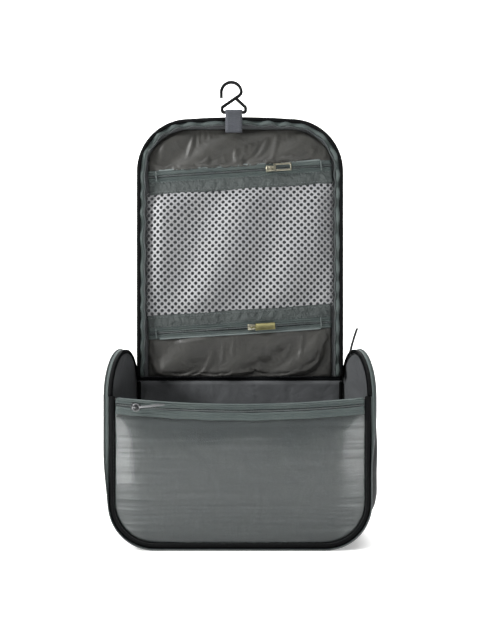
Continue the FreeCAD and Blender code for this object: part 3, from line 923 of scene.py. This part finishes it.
def ribbed(width, ridges, height=0.7 * MM):
    """Section of a tape with rounded ridges along it, at the given shares of its width."""
    section = [(-width / 2, -0.2 * MM)]
    for i in range(17):
        a = -0.5 + i / 16
        rise = max(max(1 - abs(a - r) / 0.09, 0) for r in ridges)
        section.append((a * width, height + RIDGE * rise))
    section.append((width / 2, -0.2 * MM))
    return section


for name, drop, width, ridges in (
        ("upper", TAPE_UPPER / 2, TAPE_UPPER, (-0.3, 0.3)),
        ("lower", TAPE_UPPER + COIL + TAPE_LOWER / 2, TAPE_LOWER, (-0.42, -0.2, 0.25))):
    path = along_rim(drop, FRONT - 1.6 * MM, ZIP_HALF, wobble=0.8 * MM, seed=drop * 900)
    finish_piece("front_tape_" + name, strip(path, ribbed(width, ridges, height=1.2 * MM)), "box",
                 "zip_tape_twill", ("front_zip_tape_" + name,))
path = along_rim(STRIP_DROP - 1.6 * MM, FRONT - 3.0 * MM, ZIP_HALF - 2 * MM, wobble=0.8 * MM,
                 seed=(STRIP_DROP - TAPE_LOWER / 2) * 900)
finish_piece("front_zip_stitches", stitches(path), "box", "thread_pale")
path = along_rim(TAPE_UPPER + COIL / 2, FRONT - 2.0 * MM, ZIP_HALF)
finish_piece("front_coil", toothed(path, COIL, 2.0 * MM), "box", "nylon_coil",
             ("front_zip_coil",))
path = along_rim(-0.4 * MM, FRONT + 0.6 * MM, ZIP_HALF)
finish_piece("front_rim_fold", strip(path, rounded(2.4 * MM, 4.4 * MM)), "box", "zip_tape_twill",
             rounds=1)

# %% [markdown]
# ## Main zip on the box
# One tape runs from the hinge over an arch, down the front edge, round the corner, along the
# bottom and back up the other side. It stands out sideways from the arches, then turns forward on
# its way down, so that it lies flat on the ground at the bottom.

# %% Main zip on the box


def wall_frame(side):
    """Origin of a side wall, and its directions out of the wall and towards the back."""
    origin = Vector((side * (HALF_FRONT + HALF_BACK) / 2, 0, 0))
    out = Vector((side * math.cos(SPLAY), math.sin(SPLAY), 0))
    back = Vector((-side * math.sin(SPLAY), math.cos(SPLAY), 0))
    return origin, out, back


def arch_stations(side, lift):
    """Along one arch from its back end to its front; across points out of the wall."""
    origin, out, back = wall_frame(side)
    stations = []
    count = 44
    for i in range(count + 1):
        angle = math.pi * i / count
        radial = back * math.cos(angle) + Vector((0, 0, math.sin(angle)))
        stations.append((origin + Vector((0, 0, ARCH_Z)) + radial * (ARCH_R + lift), out, radial))
    return stations


def main_zip_half(side):
    """One half of the zip's line, from the hinge over the arch and down to the middle of the floor.
    Each station is (origin, across, out, fall); fall is 0 on the arch, then counts 1 for each of
    the front edge, the bottom corner and the floor."""
    track = [(o, a, n, 0.0) for o, a, n in arch_stations(side, 0.1 * MM)[:-1]]
    ahead = Vector((0, -1, 0))
    y = FRONT - 0.1 * MM
    for i in range(26):
        z = ARCH_Z + (CORNER - ARCH_Z) * i / 26
        track.append((Vector((side * HALF_FRONT, y, z)), Vector((side, 0, 0)), ahead, i / 26))
    for i in range(18):
        angle = math.pi / 2 * i / 18
        outward = Vector((side * math.cos(angle), 0, -math.sin(angle)))
        centre = Vector((side * (HALF_FRONT - CORNER), y, CORNER))
        track.append((centre + outward * CORNER, outward, ahead, 1 + i / 18))
    for i in range(21):
        x = side * (HALF_FRONT - CORNER) * (1 - i / 20)
        track.append((Vector((x, y, 0)), Vector((0, 0, -1)), ahead, 2 + i / 20))
    return track


def lie_of_tape(side, track):
    """Turn the tape about its seam. It stands out sideways on the arch and swings forward on its
    way down: at once on the right, and lower down on the left."""
    start, end = (0.35, 1.1) if side < 0 else (0.0, 0.7)
    stations = []
    for origin, across, ahead, fall in track:
        turn = math.pi / 2 * smooth_step(fall, start, end)
        stations.append((origin, across * math.cos(turn) + ahead * math.sin(turn),
                         ahead * math.cos(turn) - across * math.sin(turn)))
    return stations


FIN = 3.4 * MM
fin_section = [(-0.6 * MM, 0.0), (FIN / 2, -0.05 * MM), (FIN, 0.0), (FIN, 0.7 * MM),
               (FIN / 2, 0.8 * MM), (-0.6 * MM, 0.7 * MM)]
for side, word in ((-1, "left"), (1, "right")):
    lie = lie_of_tape(side, main_zip_half(side))
    finish_piece("main_tape_box_" + word, strip(lie, fin_section), "box", "zip_tape_twill",
                 ("main_zip_tape",) if side > 0 else ())
    coil_path = [(o + a * (FIN + 0.6 * MM) + n * 0.85 * MM, a.normalized(), n) for o, a, n in lie]
    finish_piece("main_coil_box_" + word, toothed(coil_path, 2.0 * MM, 1.6 * MM), "box",
                 "nylon_coil", ("main_zip_coil",) if side > 0 else ())

# %% [markdown]
# ## Arch binding
# A narrower strip folds over the raw edge of each arch: a channel that opens downwards.

# %% Arch binding
arch_roll = [(-3.2 * MM, -3.0 * MM), (-3.4 * MM, 0.2 * MM), (-2.8 * MM, 1.0 * MM),
             (0.2 * MM, 1.0 * MM), (0.8 * MM, 0.2 * MM), (0.6 * MM, -3.0 * MM),
             (0.1 * MM, -3.0 * MM), (0.0, -0.2 * MM), (-2.6 * MM, -0.2 * MM),
             (-2.7 * MM, -3.0 * MM)]
for side, word in ((-1, "left"), (1, "right")):
    bm = strip(arch_stations(side, 0.0), arch_roll)
    finish_piece("arch_binding_" + word, bm, "box", "grosgrain_binding",
                 ("arch_binding",) if side > 0 else ())

# %% [markdown]
# ## Lid panel
# The lid is a stiffened sandwich with a rounded top. Its rows are as wide as the outline at their
# height, and each sheet is one piece across the fold. Round three sides a rim of outer cloth stands
# forward, with a rolled edge.

# %% Lid panel


def lid_half(z, inset):
    """Half width of the lid's outline at height z."""
    centre_z = LID_TOP - LID_CROWN - LID_CORNER
    if z <= centre_z:
        return LID_HALF - inset
    radius = LID_CORNER - inset
    rise = min((z - centre_z) / radius, 1)
    return LID_HALF - LID_CORNER + radius * math.sqrt(1 - rise * rise)


def lid_sheet(y_at, inset, low, facing, puff):
    """Sheet in the lid's outline from height low up; puff(x, z) moves each point forward."""
    centre_z = LID_TOP - LID_CROWN - LID_CORNER
    top = LID_TOP - LID_CROWN - inset
    bend = 0.3

    def place(u, v):
        if v < 1 - bend:
            z = low + (centre_z - low) * v / (1 - bend)
        else:
            z = centre_z + (top - centre_z) * math.sin((v - 1 + bend) / bend * math.pi / 2)
        half = lid_half(z, inset)
        x = (2 * u - 1) * half
        reach = max(z - centre_z, 0) / (top - centre_z)
        crown = LID_CROWN * reach * (1 - (x / (LID_HALF - LID_CORNER)) ** 2) if reach > 0.9 else 0
        return Vector((x, y_at - puff(x, z), z + max(crown, 0)))
    return sheet(56, 84, place, LID_CUT, facing)


LID_CUT = (2 * LID_HALF, LID_TOP - LID_BOTTOM)


def ease(x, z, inset):
    """From 0 at the lid's edge to 1 well inside it."""
    side = min(max((lid_half(min(z, LID_TOP - LID_CROWN), inset) - abs(x)) / (40 * MM), 0), 1)
    top = min(max((LID_TOP - z) / (50 * MM), 0), 1)
    low = min(max((z - LID_BOTTOM) / (30 * MM), 0), 1)
    return side * top * low


def lid_puff(x, z):
    return -2.5 * MM * ease(x, z, 0) * (1 + 0.4 * wave(x * 12, z * 12, 9))


for layer, back, inset, thick, material, slot in (
        ("shell", 0.0, 0.3 * MM, 0.7 * MM, "polyester_oxford", "outer_fabric"),
        ("foam", 0.75 * MM, 2.6 * MM, 2.4 * MM, "foam_sheet", "padding"),
        ("lining", LID_BACK - LID_FRONT, 1.6 * MM, 0.45 * MM, "lining_taffeta", "lining")):
    bm = lid_sheet(LID_BACK - back, inset, LID_BOTTOM,
                   forwards if layer == "lining" else backwards, lid_puff)
    if layer == "shell":
        bm = loosen(bm, lambda co: ease(co.x, co.z, 0) < 0.05, 0.012, 0.5, 3 * MM)
    finish_layer(layer, "lid_" + layer + "_cloth", bm, ACROSS_FOLD, material,
                 ("lid_lower_" + layer, "lid_upper_" + layer), thick)


def lid_path(inset, y, low, step=4 * MM):
    """Up the left edge of the lid, round the top and down the right; across points outward."""
    centre_x, centre_z = LID_HALF - LID_CORNER, LID_TOP - LID_CROWN - LID_CORNER
    radius = LID_CORNER - inset
    ahead = Vector((0, -1, 0))
    stations = []
    count = round((centre_z - low) / step)
    for i in range(count):
        z = low + (centre_z - low) * i / count
        stations.append((Vector((-LID_HALF + inset, y, z)), Vector((-1, 0, 0)), ahead))
    turns = 22
    for i in range(turns):
        angle = math.pi / 2 * i / turns
        outward = Vector((-math.cos(angle), 0, math.sin(angle)))
        stations.append((Vector((-centre_x, y, centre_z)) + outward * radius, outward, ahead))
    top = LID_TOP - LID_CROWN - inset
    half_count = round(centre_x / step)
    for i in range(half_count):
        x = -centre_x + centre_x * i / half_count
        rise = LID_CROWN * (1 - (x / centre_x) ** 2)
        stations.append((Vector((x, y, top + rise)), Vector((0, 0, 1)), ahead))
    middle = (Vector((0, y, top + LID_CROWN)), Vector((0, 0, 1)), ahead)
    return stations + [middle] + mirrored(stations)


RIM_LOW = LID_BOTTOM + 2 * MM
depth = LID_BACK - LID_RIM
rim_section = [(-0.2 * MM, 0.4 * MM), (0.6 * MM, depth * 0.5), (0.0, depth), (-2.0 * MM, depth),
               (-2.2 * MM, depth * 0.5), (-1.4 * MM, 0.4 * MM)]
bm = strip(lid_path(0.4 * MM, LID_BACK, RIM_LOW), rim_section)
finish_piece("lid_rim_cloth", bm, ACROSS_FOLD, "polyester_oxford",
             ("lid_lower_rim", "lid_upper_rim"), rounds=1)
bm = strip(lid_path(2.1 * MM, LID_RIM, RIM_LOW), rounded(4.6 * MM, 4.0 * MM, points=12))
finish_piece("lid_piping_roll", bm, ACROSS_FOLD, "grosgrain_binding",
             ("lid_lower_piping", "lid_upper_piping"), rounds=1)

# %% [markdown]
# ## Lid half of the main zip
# The zip's other tape is sewn inside the rim. It is longer than the seam is when the lid is laid
# out flat, so it ripples.

# %% Lid half of the main zip


def rippled(stations, height, pitch, seed):
    """Move a path forward and back in small uneven ripples."""
    out = []
    travel = 0.0
    last = stations[0][0]
    for origin, across, ahead in stations:
        travel += (origin - last).length
        last = origin
        ripple = math.sin(travel / pitch * 2 * math.pi + 5 * wave(travel * 14, seed, 0))
        push = height * ripple * (0.6 + 0.8 * abs(wave(travel * 9, seed, 5)))
        out.append((origin + ahead * push + across * push * 0.6, across, ahead))
    return out


path = rippled(lid_path(6.0 * MM, LID_RIM + 0.4 * MM, RIM_LOW, step=2 * MM), 1.0 * MM, 24 * MM, 2.0)
section = [(-2.4 * MM, 0.0), (2.6 * MM, 0.0), (2.6 * MM, 0.7 * MM), (-2.4 * MM, 0.7 * MM)]
finish_piece("lid_main_tape", strip(path, section), ACROSS_FOLD, "zip_tape_twill",
             ("lid_lower_zip_tape", "lid_upper_zip_tape"))
path = rippled(lid_path(9.0 * MM, LID_RIM, RIM_LOW, step=2 * MM), 1.0 * MM, 24 * MM, 2.0)
finish_piece("lid_main_coil", toothed(path, 2.0 * MM, 1.8 * MM), ACROSS_FOLD,
             "nylon_coil", ("lid_lower_zip_coil", "lid_upper_zip_coil"))

# %% [markdown]
# ## Pockets on the lid
# Two slanted zips cross the lid. Between them is netting, above and below them are satin. Each
# zip is a pair of twill tapes with a coil between, and a fine corded edge along the seam.

# %% Pocket zips on the lid
TILT = math.radians(3.8)
ALONG = Vector((math.cos(TILT), 0, math.sin(TILT)))
UP = Vector((-math.sin(TILT), 0, math.cos(TILT)))
AHEAD = Vector((0, -1, 0))


def slant_path(z_mid, rise, y, half, wobble=0.0, seed=0.0):
    count = round(2 * half / (2.5 * MM))
    stations = []
    for i in range(count + 1):
        s = -half + 2 * half * i / count
        bend = wobble * wave(s * 38, seed, 2.0)
        origin = Vector((0, y, z_mid)) + ALONG * s + UP * (rise + bend * 0.6) + AHEAD * bend
        stations.append((origin, UP, AHEAD))
    return stations


WIDE_TAPE = 19.0 * MM
NARROW_TAPE = 5.0 * MM
TAPE = 5.4 * MM
TO_NET = COIL / 2 + WIDE_TAPE
TO_SATIN = COIL / 2 + NARROW_TAPE
zips = {}
for name, body, satin_side in (("top", "lid_upper", 1), ("low", "lid_lower", -1)):
    low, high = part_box(name + "_zip_coil")
    z_mid = (low[2] + high[2]) / 2
    zips[name] = z_mid
    nodes = (name + "_zip_tape_upper", name + "_zip_tape_lower")
    narrow_node, wide_node = nodes if satin_side > 0 else nodes[::-1]
    half = POCKET_HALF + 1 * MM

    path = slant_path(z_mid, satin_side * (COIL + NARROW_TAPE) / 2, NET_Y + 0.2 * MM, half,
                      wobble=0.9 * MM, seed=z_mid * 50)
    finish_piece(name + "_tape_narrow", strip(path, ribbed(NARROW_TAPE, (-0.3, 0.3))), body,
                 "zip_tape_twill", (narrow_node,))
    path = slant_path(z_mid, satin_side * (TO_SATIN + 0.2 * MM), NET_Y - 0.5 * MM, half - 12 * MM,
                      wobble=0.8 * MM, seed=z_mid * 50)
    finish_piece(name + "_corded_edge", strip(path, rounded(2.0 * MM, 1.8 * MM, points=10)), body,
                 "zip_cord", rounds=1)
    path = slant_path(z_mid, -satin_side * (COIL + TAPE) / 2, NET_Y + 0.2 * MM, half,
                      wobble=0.7 * MM, seed=z_mid * 70)
    finish_piece(name + "_tape_wide", strip(path, ribbed(TAPE, (-0.42, 0.0, 0.36))), body,
                 "zip_tape_twill", (wide_node,))
    path = slant_path(z_mid, 0, NET_Y - 0.3 * MM, half)
    finish_piece(name + "_coil", toothed(path, COIL, 2.2 * MM), body, "nylon_coil",
                 (name + "_zip_coil",))

    welt_low, welt_high = COIL / 2 + TAPE - 0.8 * MM, TO_NET

    def welt_place(u, v):
        s = (2 * u - 1) * half
        rise = -satin_side * (welt_low + (welt_high - welt_low) * v)
        gather = math.sin(math.pi * v) ** 0.6
        pucker = 0.75 * MM * gather * (1 + 1.3 * wave(s * 170, v * 2.0, z_mid * 9)
                                      + 1.2 * wave(s * 45, v * 1.5, 3))
        hem = 0.7 * MM * math.exp(-((v - 0.9) / 0.06) ** 2)
        point = Vector((0, NET_Y - 0.5 * MM, z_mid)) + ALONG * s + UP * rise
        return point + AHEAD * (pucker + hem)

    bm = sheet(180, 12, welt_place, (2 * half, welt_high - welt_low), forwards)
    finish_piece(name + "_welt", bm, body, "welt_polyester", thick=0.5 * MM)
    rows = []
    for rise in (welt_low + 1.2 * MM, welt_high - 2.9 * MM):
        row = slant_path(z_mid, -satin_side * rise, NET_Y - 1.5 * MM, half - 3 * MM)
        rows.append(stitches(row))
    for at in (-half + 9 * MM, half - 12 * MM):
        foot = Vector((0, NET_Y - 2.2 * MM, z_mid)) + ALONG * at
        tack = [(foot + UP * 5.5 * MM * (i / 6 - 0.5) * 2, ALONG, AHEAD) for i in range(7)]
        rows.append(stitches(tack, pitch=1.1 * MM, thickness=1.5 * MM, share=1.3))
    finish_piece(name + "_welt_stitches", merged(rows), body, "thread_pale")

# %% [markdown]
# ## Netting
# Warp-knitted netting is a lattice of rounded holes in staggered rows. A grid turned by 45
# degrees has cells that lie just so. Each cell is inset and its middle taken away, and one
# subdivision rounds the hole that is left. The cells that reach past the pocket are dropped.

# %% Netting
HOLE_PITCH = 7.6 * MM
low_line = zips["low"] + TO_NET
top_line = zips["top"] - TO_NET
slope = math.tan(TILT)
cell = HOLE_PITCH / math.sqrt(2)
cells = 60
bm = bmesh.new()
bmesh.ops.create_grid(bm, x_segments=cells, y_segments=cells, size=cell * cells / 2)
for degrees, axis in ((45, "Z"), (90, "X")):
    bmesh.ops.rotate(bm, verts=bm.verts, cent=(0, 0, 0),
                     matrix=Matrix.Rotation(math.radians(degrees), 3, axis))
bmesh.ops.translate(bm, verts=bm.verts, vec=(0, NET_Y, (low_line + top_line) / 2))
tuck = 3 * MM


def in_pocket(point):
    low_edge = low_line + slope * point.x - tuck
    top_edge = top_line + slope * point.x + tuck
    return abs(point.x) < POCKET_HALF + tuck and low_edge < point.z < top_edge


outside = [f for f in bm.faces if not in_pocket(f.calc_center_median())]
bmesh.ops.delete(bm, geom=outside, context="FACES")
kept = bmesh.ops.inset_individual(bm, faces=bm.faces[:], thickness=0.62 * MM, use_even_offset=True)
ring = set(kept["faces"])
bmesh.ops.delete(bm, geom=[f for f in bm.faces if f not in ring], context="FACES")
uv_map = bm.loops.layers.uv.new("cloth")
for face in bm.faces:
    for loop in face.loops:
        loop[uv_map].uv = (loop.vert.co.x, loop.vert.co.z)


NET_DEPTH = 4.4
FOLDS_PER_METRE = 84


def net_drape(x, z):
    """The net hangs loose between its seams, in soft slanting folds."""
    side = min((POCKET_HALF + tuck - abs(x)) / (18 * MM), 1)
    from_edges = min(z - low_line - slope * x, top_line + slope * x - z) + tuck
    rise = min(from_edges / (18 * MM), 1)
    slack = max(side, 0) * max(rise, 0)
    fold = math.sin((x * 0.9 - z * 0.43) * FOLDS_PER_METRE + 0.6 + 1.6 * wave(x * 10, z * 10, 4))
    return slack * (NET_DEPTH + NET_DEPTH * fold + 2.0 * wave(x * 14, z * 12, 8)) * MM


for vert in bm.verts:
    vert.co.y -= net_drape(vert.co.x, vert.co.z)
finish_piece("netting", bm, ACROSS_FOLD, "net_yarn", ("netting_lower", "netting_upper"),
             thick=0.45 * MM, rounds=1)

# %% [markdown]
# ## Satin pockets
# Plain satin covers the lid above the top zip and below the lower one.

# %% Satin pockets


def satin(name, low_at, high_at, body, node, seed, tall):
    half = POCKET_HALF + 1 * MM

    def place(u, v):
        x = (2 * u - 1) * half
        low, high = low_at(x), high_at(x)
        z = low + (high - low) * v
        loose = min(min(v, 1 - v) * 7, min(u, 1 - u) * 12, 1)
        folds = math.sin((x * 0.8 - z) * 130 + 3.4 * wave(x * 9, z * 9, seed))
        lift = loose * (2.0 + 2.2 * folds + 1.8 * wave(x * 30, z * 22, seed + 2)) * MM
        return Vector((x, NET_Y + 0.6 * MM - lift, z))

    bm = sheet(110, 44, place, (2 * half, tall), forwards)
    rim = {(round(vert.co.x, 7), round(vert.co.z, 7)) for vert in bm.verts if vert.is_boundary}
    bm = loosen(bm, lambda co: (round(co.x, 7), round(co.z, 7)) in rim, 0.035, 0.25, 5 * MM,
                gravity=0.6, stiff=8.0, bend=0.05)
    finish_piece(name, bm, body, "polyester_satin", (node,), thick=0.4 * MM)


satin("low_satin", lambda x: LID_BOTTOM + 1 * MM,
      lambda x: zips["low"] - TO_SATIN + slope * x + 1.5 * MM, "lid_lower", "low_pocket", 11.0,
      zips["low"] - TO_SATIN - LID_BOTTOM)


def top_edge(x):
    radius = LID_CORNER - 9 * MM
    beyond = max(abs(x) - (LID_HALF - LID_CORNER), 0)
    top = LID_TOP - LID_CROWN - LID_CORNER
    return top + math.sqrt(max(radius ** 2 - beyond ** 2, 0))


satin("top_satin", lambda x: zips["top"] + TO_SATIN + slope * x - 1.5 * MM, top_edge,
      "lid_upper", "top_panel", 17.0, LID_TOP - 8 * MM - zips["top"] - TO_SATIN)

# %% [markdown]
# ## Hinge
# The lid's outer cloth and lining run on into the back of the box. Between them is the sewn fold
# that the lid turns on.

# %% Hinge
for name, y_at, material, widest, above in (
        ("hinge_outer", LID_BACK + 0.3 * MM, "polyester_oxford", 3.6 * MM, 15 * MM),
        ("hinge_inner", LID_FRONT + 0.6 * MM, "grosgrain_binding", 2.5 * MM, 7 * MM)):
    def place(u, v):
        rise = -7 * MM + (7 * MM + above) * v
        half = LID_HALF + widest - (widest - 0.5 * MM) * smooth_step(rise, 0, above)
        pinch = (HINGE[1] - y_at) * 0.45 * max(1 - abs(rise) / (7 * MM), 0)
        return Vector(((2 * u - 1) * half, y_at + pinch, HINGE[2] + rise))
    bm = sheet(40, 12, place, (2 * LID_HALF, 7 * MM + above),
               backwards if name == "hinge_outer" else forwards)
    finish_piece(name, bm, ACROSS_HINGE, material, thick=0.5 * MM)
solid = frame["nodes"]["hinge_fold"]
solid.data.materials.clear()
solid.data.materials.append(materials["polyester_oxford"])

# %% [markdown]
# ## Hanger tab
# A loop of ribbed webbing is sewn to the top of the lid and holds the hook.

# %% Hanger tab
tab_low, tab_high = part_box("hanger_tab")
tab_y = (tab_low[1] + tab_high[1]) / 2
bar_z = tab_high[2] - 3.4 * MM
loop = []
turns = 14
for i in range(10):
    loop.append((-1.2 * MM, tab_low[2] + (bar_z - 4 * MM - tab_low[2]) * i / 9))
for i in range(turns + 1):
    angle = math.radians(-60) + math.radians(300) * i / turns
    loop.append((-2.9 * MM * math.cos(angle), bar_z + 2.9 * MM * math.sin(angle)))
for i in range(10):
    loop.append((1.2 * MM, bar_z - 4 * MM + (tab_low[2] - bar_z + 4 * MM) * i / 9))


def tab_place(u, v):
    y, z = loop[round(v * (len(loop) - 1))]
    return Vector((tab_low[0] + (tab_high[0] - tab_low[0]) * u, tab_y + y, z))


bm = sheet(6, len(loop) - 1, tab_place, (tab_high[0] - tab_low[0], 50 * MM))
finish_piece("hanger_webbing", bm, "lid_upper", "webbing", ("hanger_tab",),
             thick=1.0 * MM)

# %% [markdown]
# ## Sliders and pulls
# Each slider is a small casting: a rounded wedge that is wide where the tapes part, with two lugs
# and a pin for the pull. The lid's upper zip has an open frame for a pull and its lower zip a
# brass tab. The pocket's pull is a ring with a slim tab, and the main zip's is a dark strip of
# rubber, bent outwards. All are built lying along X and are then moved on to their zips.

# %% Slider bodies


def rounded_block(low, high, edge, taper=1.0):
    """Block between two corners (mm) with rounded edges; taper narrows its far end in Y."""
    bm = bmesh.new()
    bmesh.ops.create_cube(bm, size=1)
    for vert in bm.verts:
        vert.co = Vector([(a + (b - a) * (c + 0.5)) * MM for a, b, c in zip(low, high, vert.co)])
        if vert.co.x > (low[0] + high[0]) / 2 * MM:
            vert.co.y *= taper
    bmesh.ops.bevel(bm, geom=bm.edges[:], offset=edge * MM, segments=3, affect="EDGES", profile=0.5,
                    material=-1)
    return bm


def turned_ring(radius, width, height, centre, flat):
    """Ring of wire (mm). It lies flat on the cloth, or stands round an axis along Y."""
    stations = []
    for i in range(33):
        angle = 2 * math.pi * i / 32
        out = Vector((math.cos(angle), math.sin(angle), 0) if flat else
                     (math.cos(angle), 0, math.sin(angle)))
        up = Vector((0, 0, 1)) if flat else Vector((0, 1, 0))
        stations.append((Vector(centre) * MM + out * radius * MM, out, up))
    bm = strip(stations, rounded(width * MM, height * MM, points=10), capped=False)
    bmesh.ops.remove_doubles(bm, verts=bm.verts, dist=1e-6)
    bmesh.ops.recalc_face_normals(bm, faces=bm.faces)
    return bm


PIN_RISE = 5.9


SLIDER_HALF = (4.5, 3.5)
SLIDER_TOP = 3.8


def slider_casting():
    """Wedge with two lugs and a pin."""
    half_long, half_wide = SLIDER_HALF
    parts = [rounded_block((-half_long, -half_wide, 0.3), (half_long, half_wide, SLIDER_TOP), 0.9,
                           taper=0.74)]
    for side in (-1, 1):
        low, high = sorted((side * 0.9, side * 1.7))
        parts.append(rounded_block((-1.6, low, 3.2), (1.6, high, 7.1), 0.35))
    pin = bmesh.new()
    bmesh.ops.create_cone(pin, cap_ends=True, segments=16, radius1=0.6 * MM, radius2=0.6 * MM,
                          depth=3.6 * MM, matrix=Matrix.Translation((0, 0, PIN_RISE * MM))
                          @ Matrix.Rotation(math.radians(90), 4, "X"))
    return merged(parts + [pin])


def eye():
    """The loop of a pull, round its pin."""
    return turned_ring(1.35, 0.75, 1.2, (0, 0, PIN_RISE), flat=False)


def frame_pull():
    """Open frame: four rounded bars, and a neck to the eye."""
    z_low, z_high = PIN_RISE - 0.6, PIN_RISE + 0.6
    bars = [((4, -4.3), (24, -2.5)), ((4, 2.5), (24, 4.3)), ((4, -4.3), (6.6, 4.3)),
            ((22.4, -4.3), (24, 4.3))]
    parts = [rounded_block((a[0], a[1], z_low), (b[0], b[1], z_high), 0.4) for a, b in bars]
    return merged(parts + [eye(), rounded_block((1.2, -0.6, z_low), (4.6, 0.6, z_high), 0.25)])


def tab_pull():
    """Solid brass tab with a sunk panel on its face."""
    z_low, z_high = PIN_RISE - 0.7, PIN_RISE + 0.7
    tab = rounded_block((4, -3.8, z_low), (26, 3.8, z_high), 0.45)
    face = max(tab.faces, key=lambda f: f.calc_area() * f.normal.z)
    bmesh.ops.inset_region(tab, faces=[face], thickness=0.7 * MM)
    bmesh.ops.translate(tab, verts=face.verts, vec=(0, 0, -0.3 * MM))
    return merged([tab, eye(), rounded_block((1.2, -0.6, z_low), (4.6, 0.6, z_high), 0.25)])


def ring_pull():
    """Ring round the lugs, and a slim tab that has slipped a little way round it."""
    ring = turned_ring(3.3, 1.1, 1.1, (0.9, 0, PIN_RISE), flat=True)
    bar = rounded_block((-2.2, -0.45, PIN_RISE - 0.5), (-0.6, 0.45, PIN_RISE + 0.5), 0.2)
    tab = rounded_block((3.8, -0.9, PIN_RISE - 0.5), (28, 0.9, PIN_RISE + 0.5), 0.3)
    bmesh.ops.rotate(tab, verts=tab.verts, cent=(0.9 * MM, 0, 0),
                     matrix=Matrix.Rotation(math.radians(11), 3, "Z"))
    return merged([ring, bar, tab, eye()])


def on_zip(bm, pin, along, across, out):
    """Turn a slider or a pull to its zip's directions, and put it where its pin is."""
    origin = pin - out * PIN_RISE * MM
    place = Matrix((along.to_4d(), across.to_4d(), out.to_4d(), origin.to_4d())).transposed()
    place[3][0] = place[3][1] = place[3][2] = 0
    bm.transform(place)
    bmesh.ops.recalc_face_normals(bm, faces=bm.faces)
    return bm


front_pin = Vector(joint_at("front_pull_flip"))
lean = math.asin(front_pin.x / (RIM_R + TAPE_UPPER + COIL / 2))
front_along = Vector((math.cos(lean), 0, math.sin(lean)))
front_across = Vector((-math.sin(lean), 0, math.cos(lean)))
for name, along, across, casting, pull, metal in (
        ("top", ALONG, UP, "plated_zinc", frame_pull, "plated_zinc"),
        ("low", ALONG, UP, "plated_zinc", tab_pull, "antique_brass"),
        ("front", front_along, front_across, "black_enamel", ring_pull, "black_nickel")):
    pin = Vector(joint_at(name + "_pull_flip"))
    finish_piece(name + "_slider_casting", on_zip(slider_casting(), pin, along, across, AHEAD),
                 name + "_slider", casting, (name + "_slider",))
    slot = {"top": "slider_metal", "low": "brass_pull", "front": "dark_pull"}[name]
    finish_piece(name + "_pull_" + pull.__name__.split("_")[0],
                 on_zip(pull(), pin, along, across, AHEAD), name + "_pull", metal,
                 (name + "_pull",))

# %% [markdown]
# ## Main zip's slider and pull
# The slider stands over the right arch, at the angle of its joint. Its strap hangs free: it
# points up and bends a little outwards.

# %% Main zip's slider and pull
main_pin = Vector(joint_at("main_pull_flip"))
arch_middle = Vector(joint_at("main_zip"))
wall_across = wall_frame(1)[1]
radial = main_pin - arch_middle
radial = (radial - wall_across * radial.dot(wall_across)).normalized()
up_arch = wall_across.cross(radial)
up_arch *= math.copysign(1, up_arch.z)
bm = on_zip(slider_casting(), main_pin, up_arch, wall_across, radial)
finish_piece("main_slider_casting", bm, "main_slider", "plated_zinc",
             ("main_slider",))
stations = []
for i in range(19):
    share = i / 18
    sideways = 9.0 * MM * share ** 1.3
    stations.append((main_pin + Vector((sideways, 0, (1.6 + 33.4 * share) * MM)), Vector((1, 0, 0)),
                     Vector((0, -1, 0))))
strap = strip(stations, rounded(2.9 * MM, 1.5 * MM, points=12))
loop = turned_ring(1.35, 0.75, 1.2, (0, 0, 0), flat=False)
bmesh.ops.rotate(loop, verts=loop.verts, cent=(0, 0, 0), matrix=Matrix.Rotation(SPLAY, 3, "Z")
                 @ Matrix.Rotation(math.radians(90), 3, "Z"))
bmesh.ops.translate(loop, verts=loop.verts, vec=main_pin)
finish_piece("main_pull_strap", merged([strap, loop]), "main_pull", "black_enamel",
             ("main_pull",))
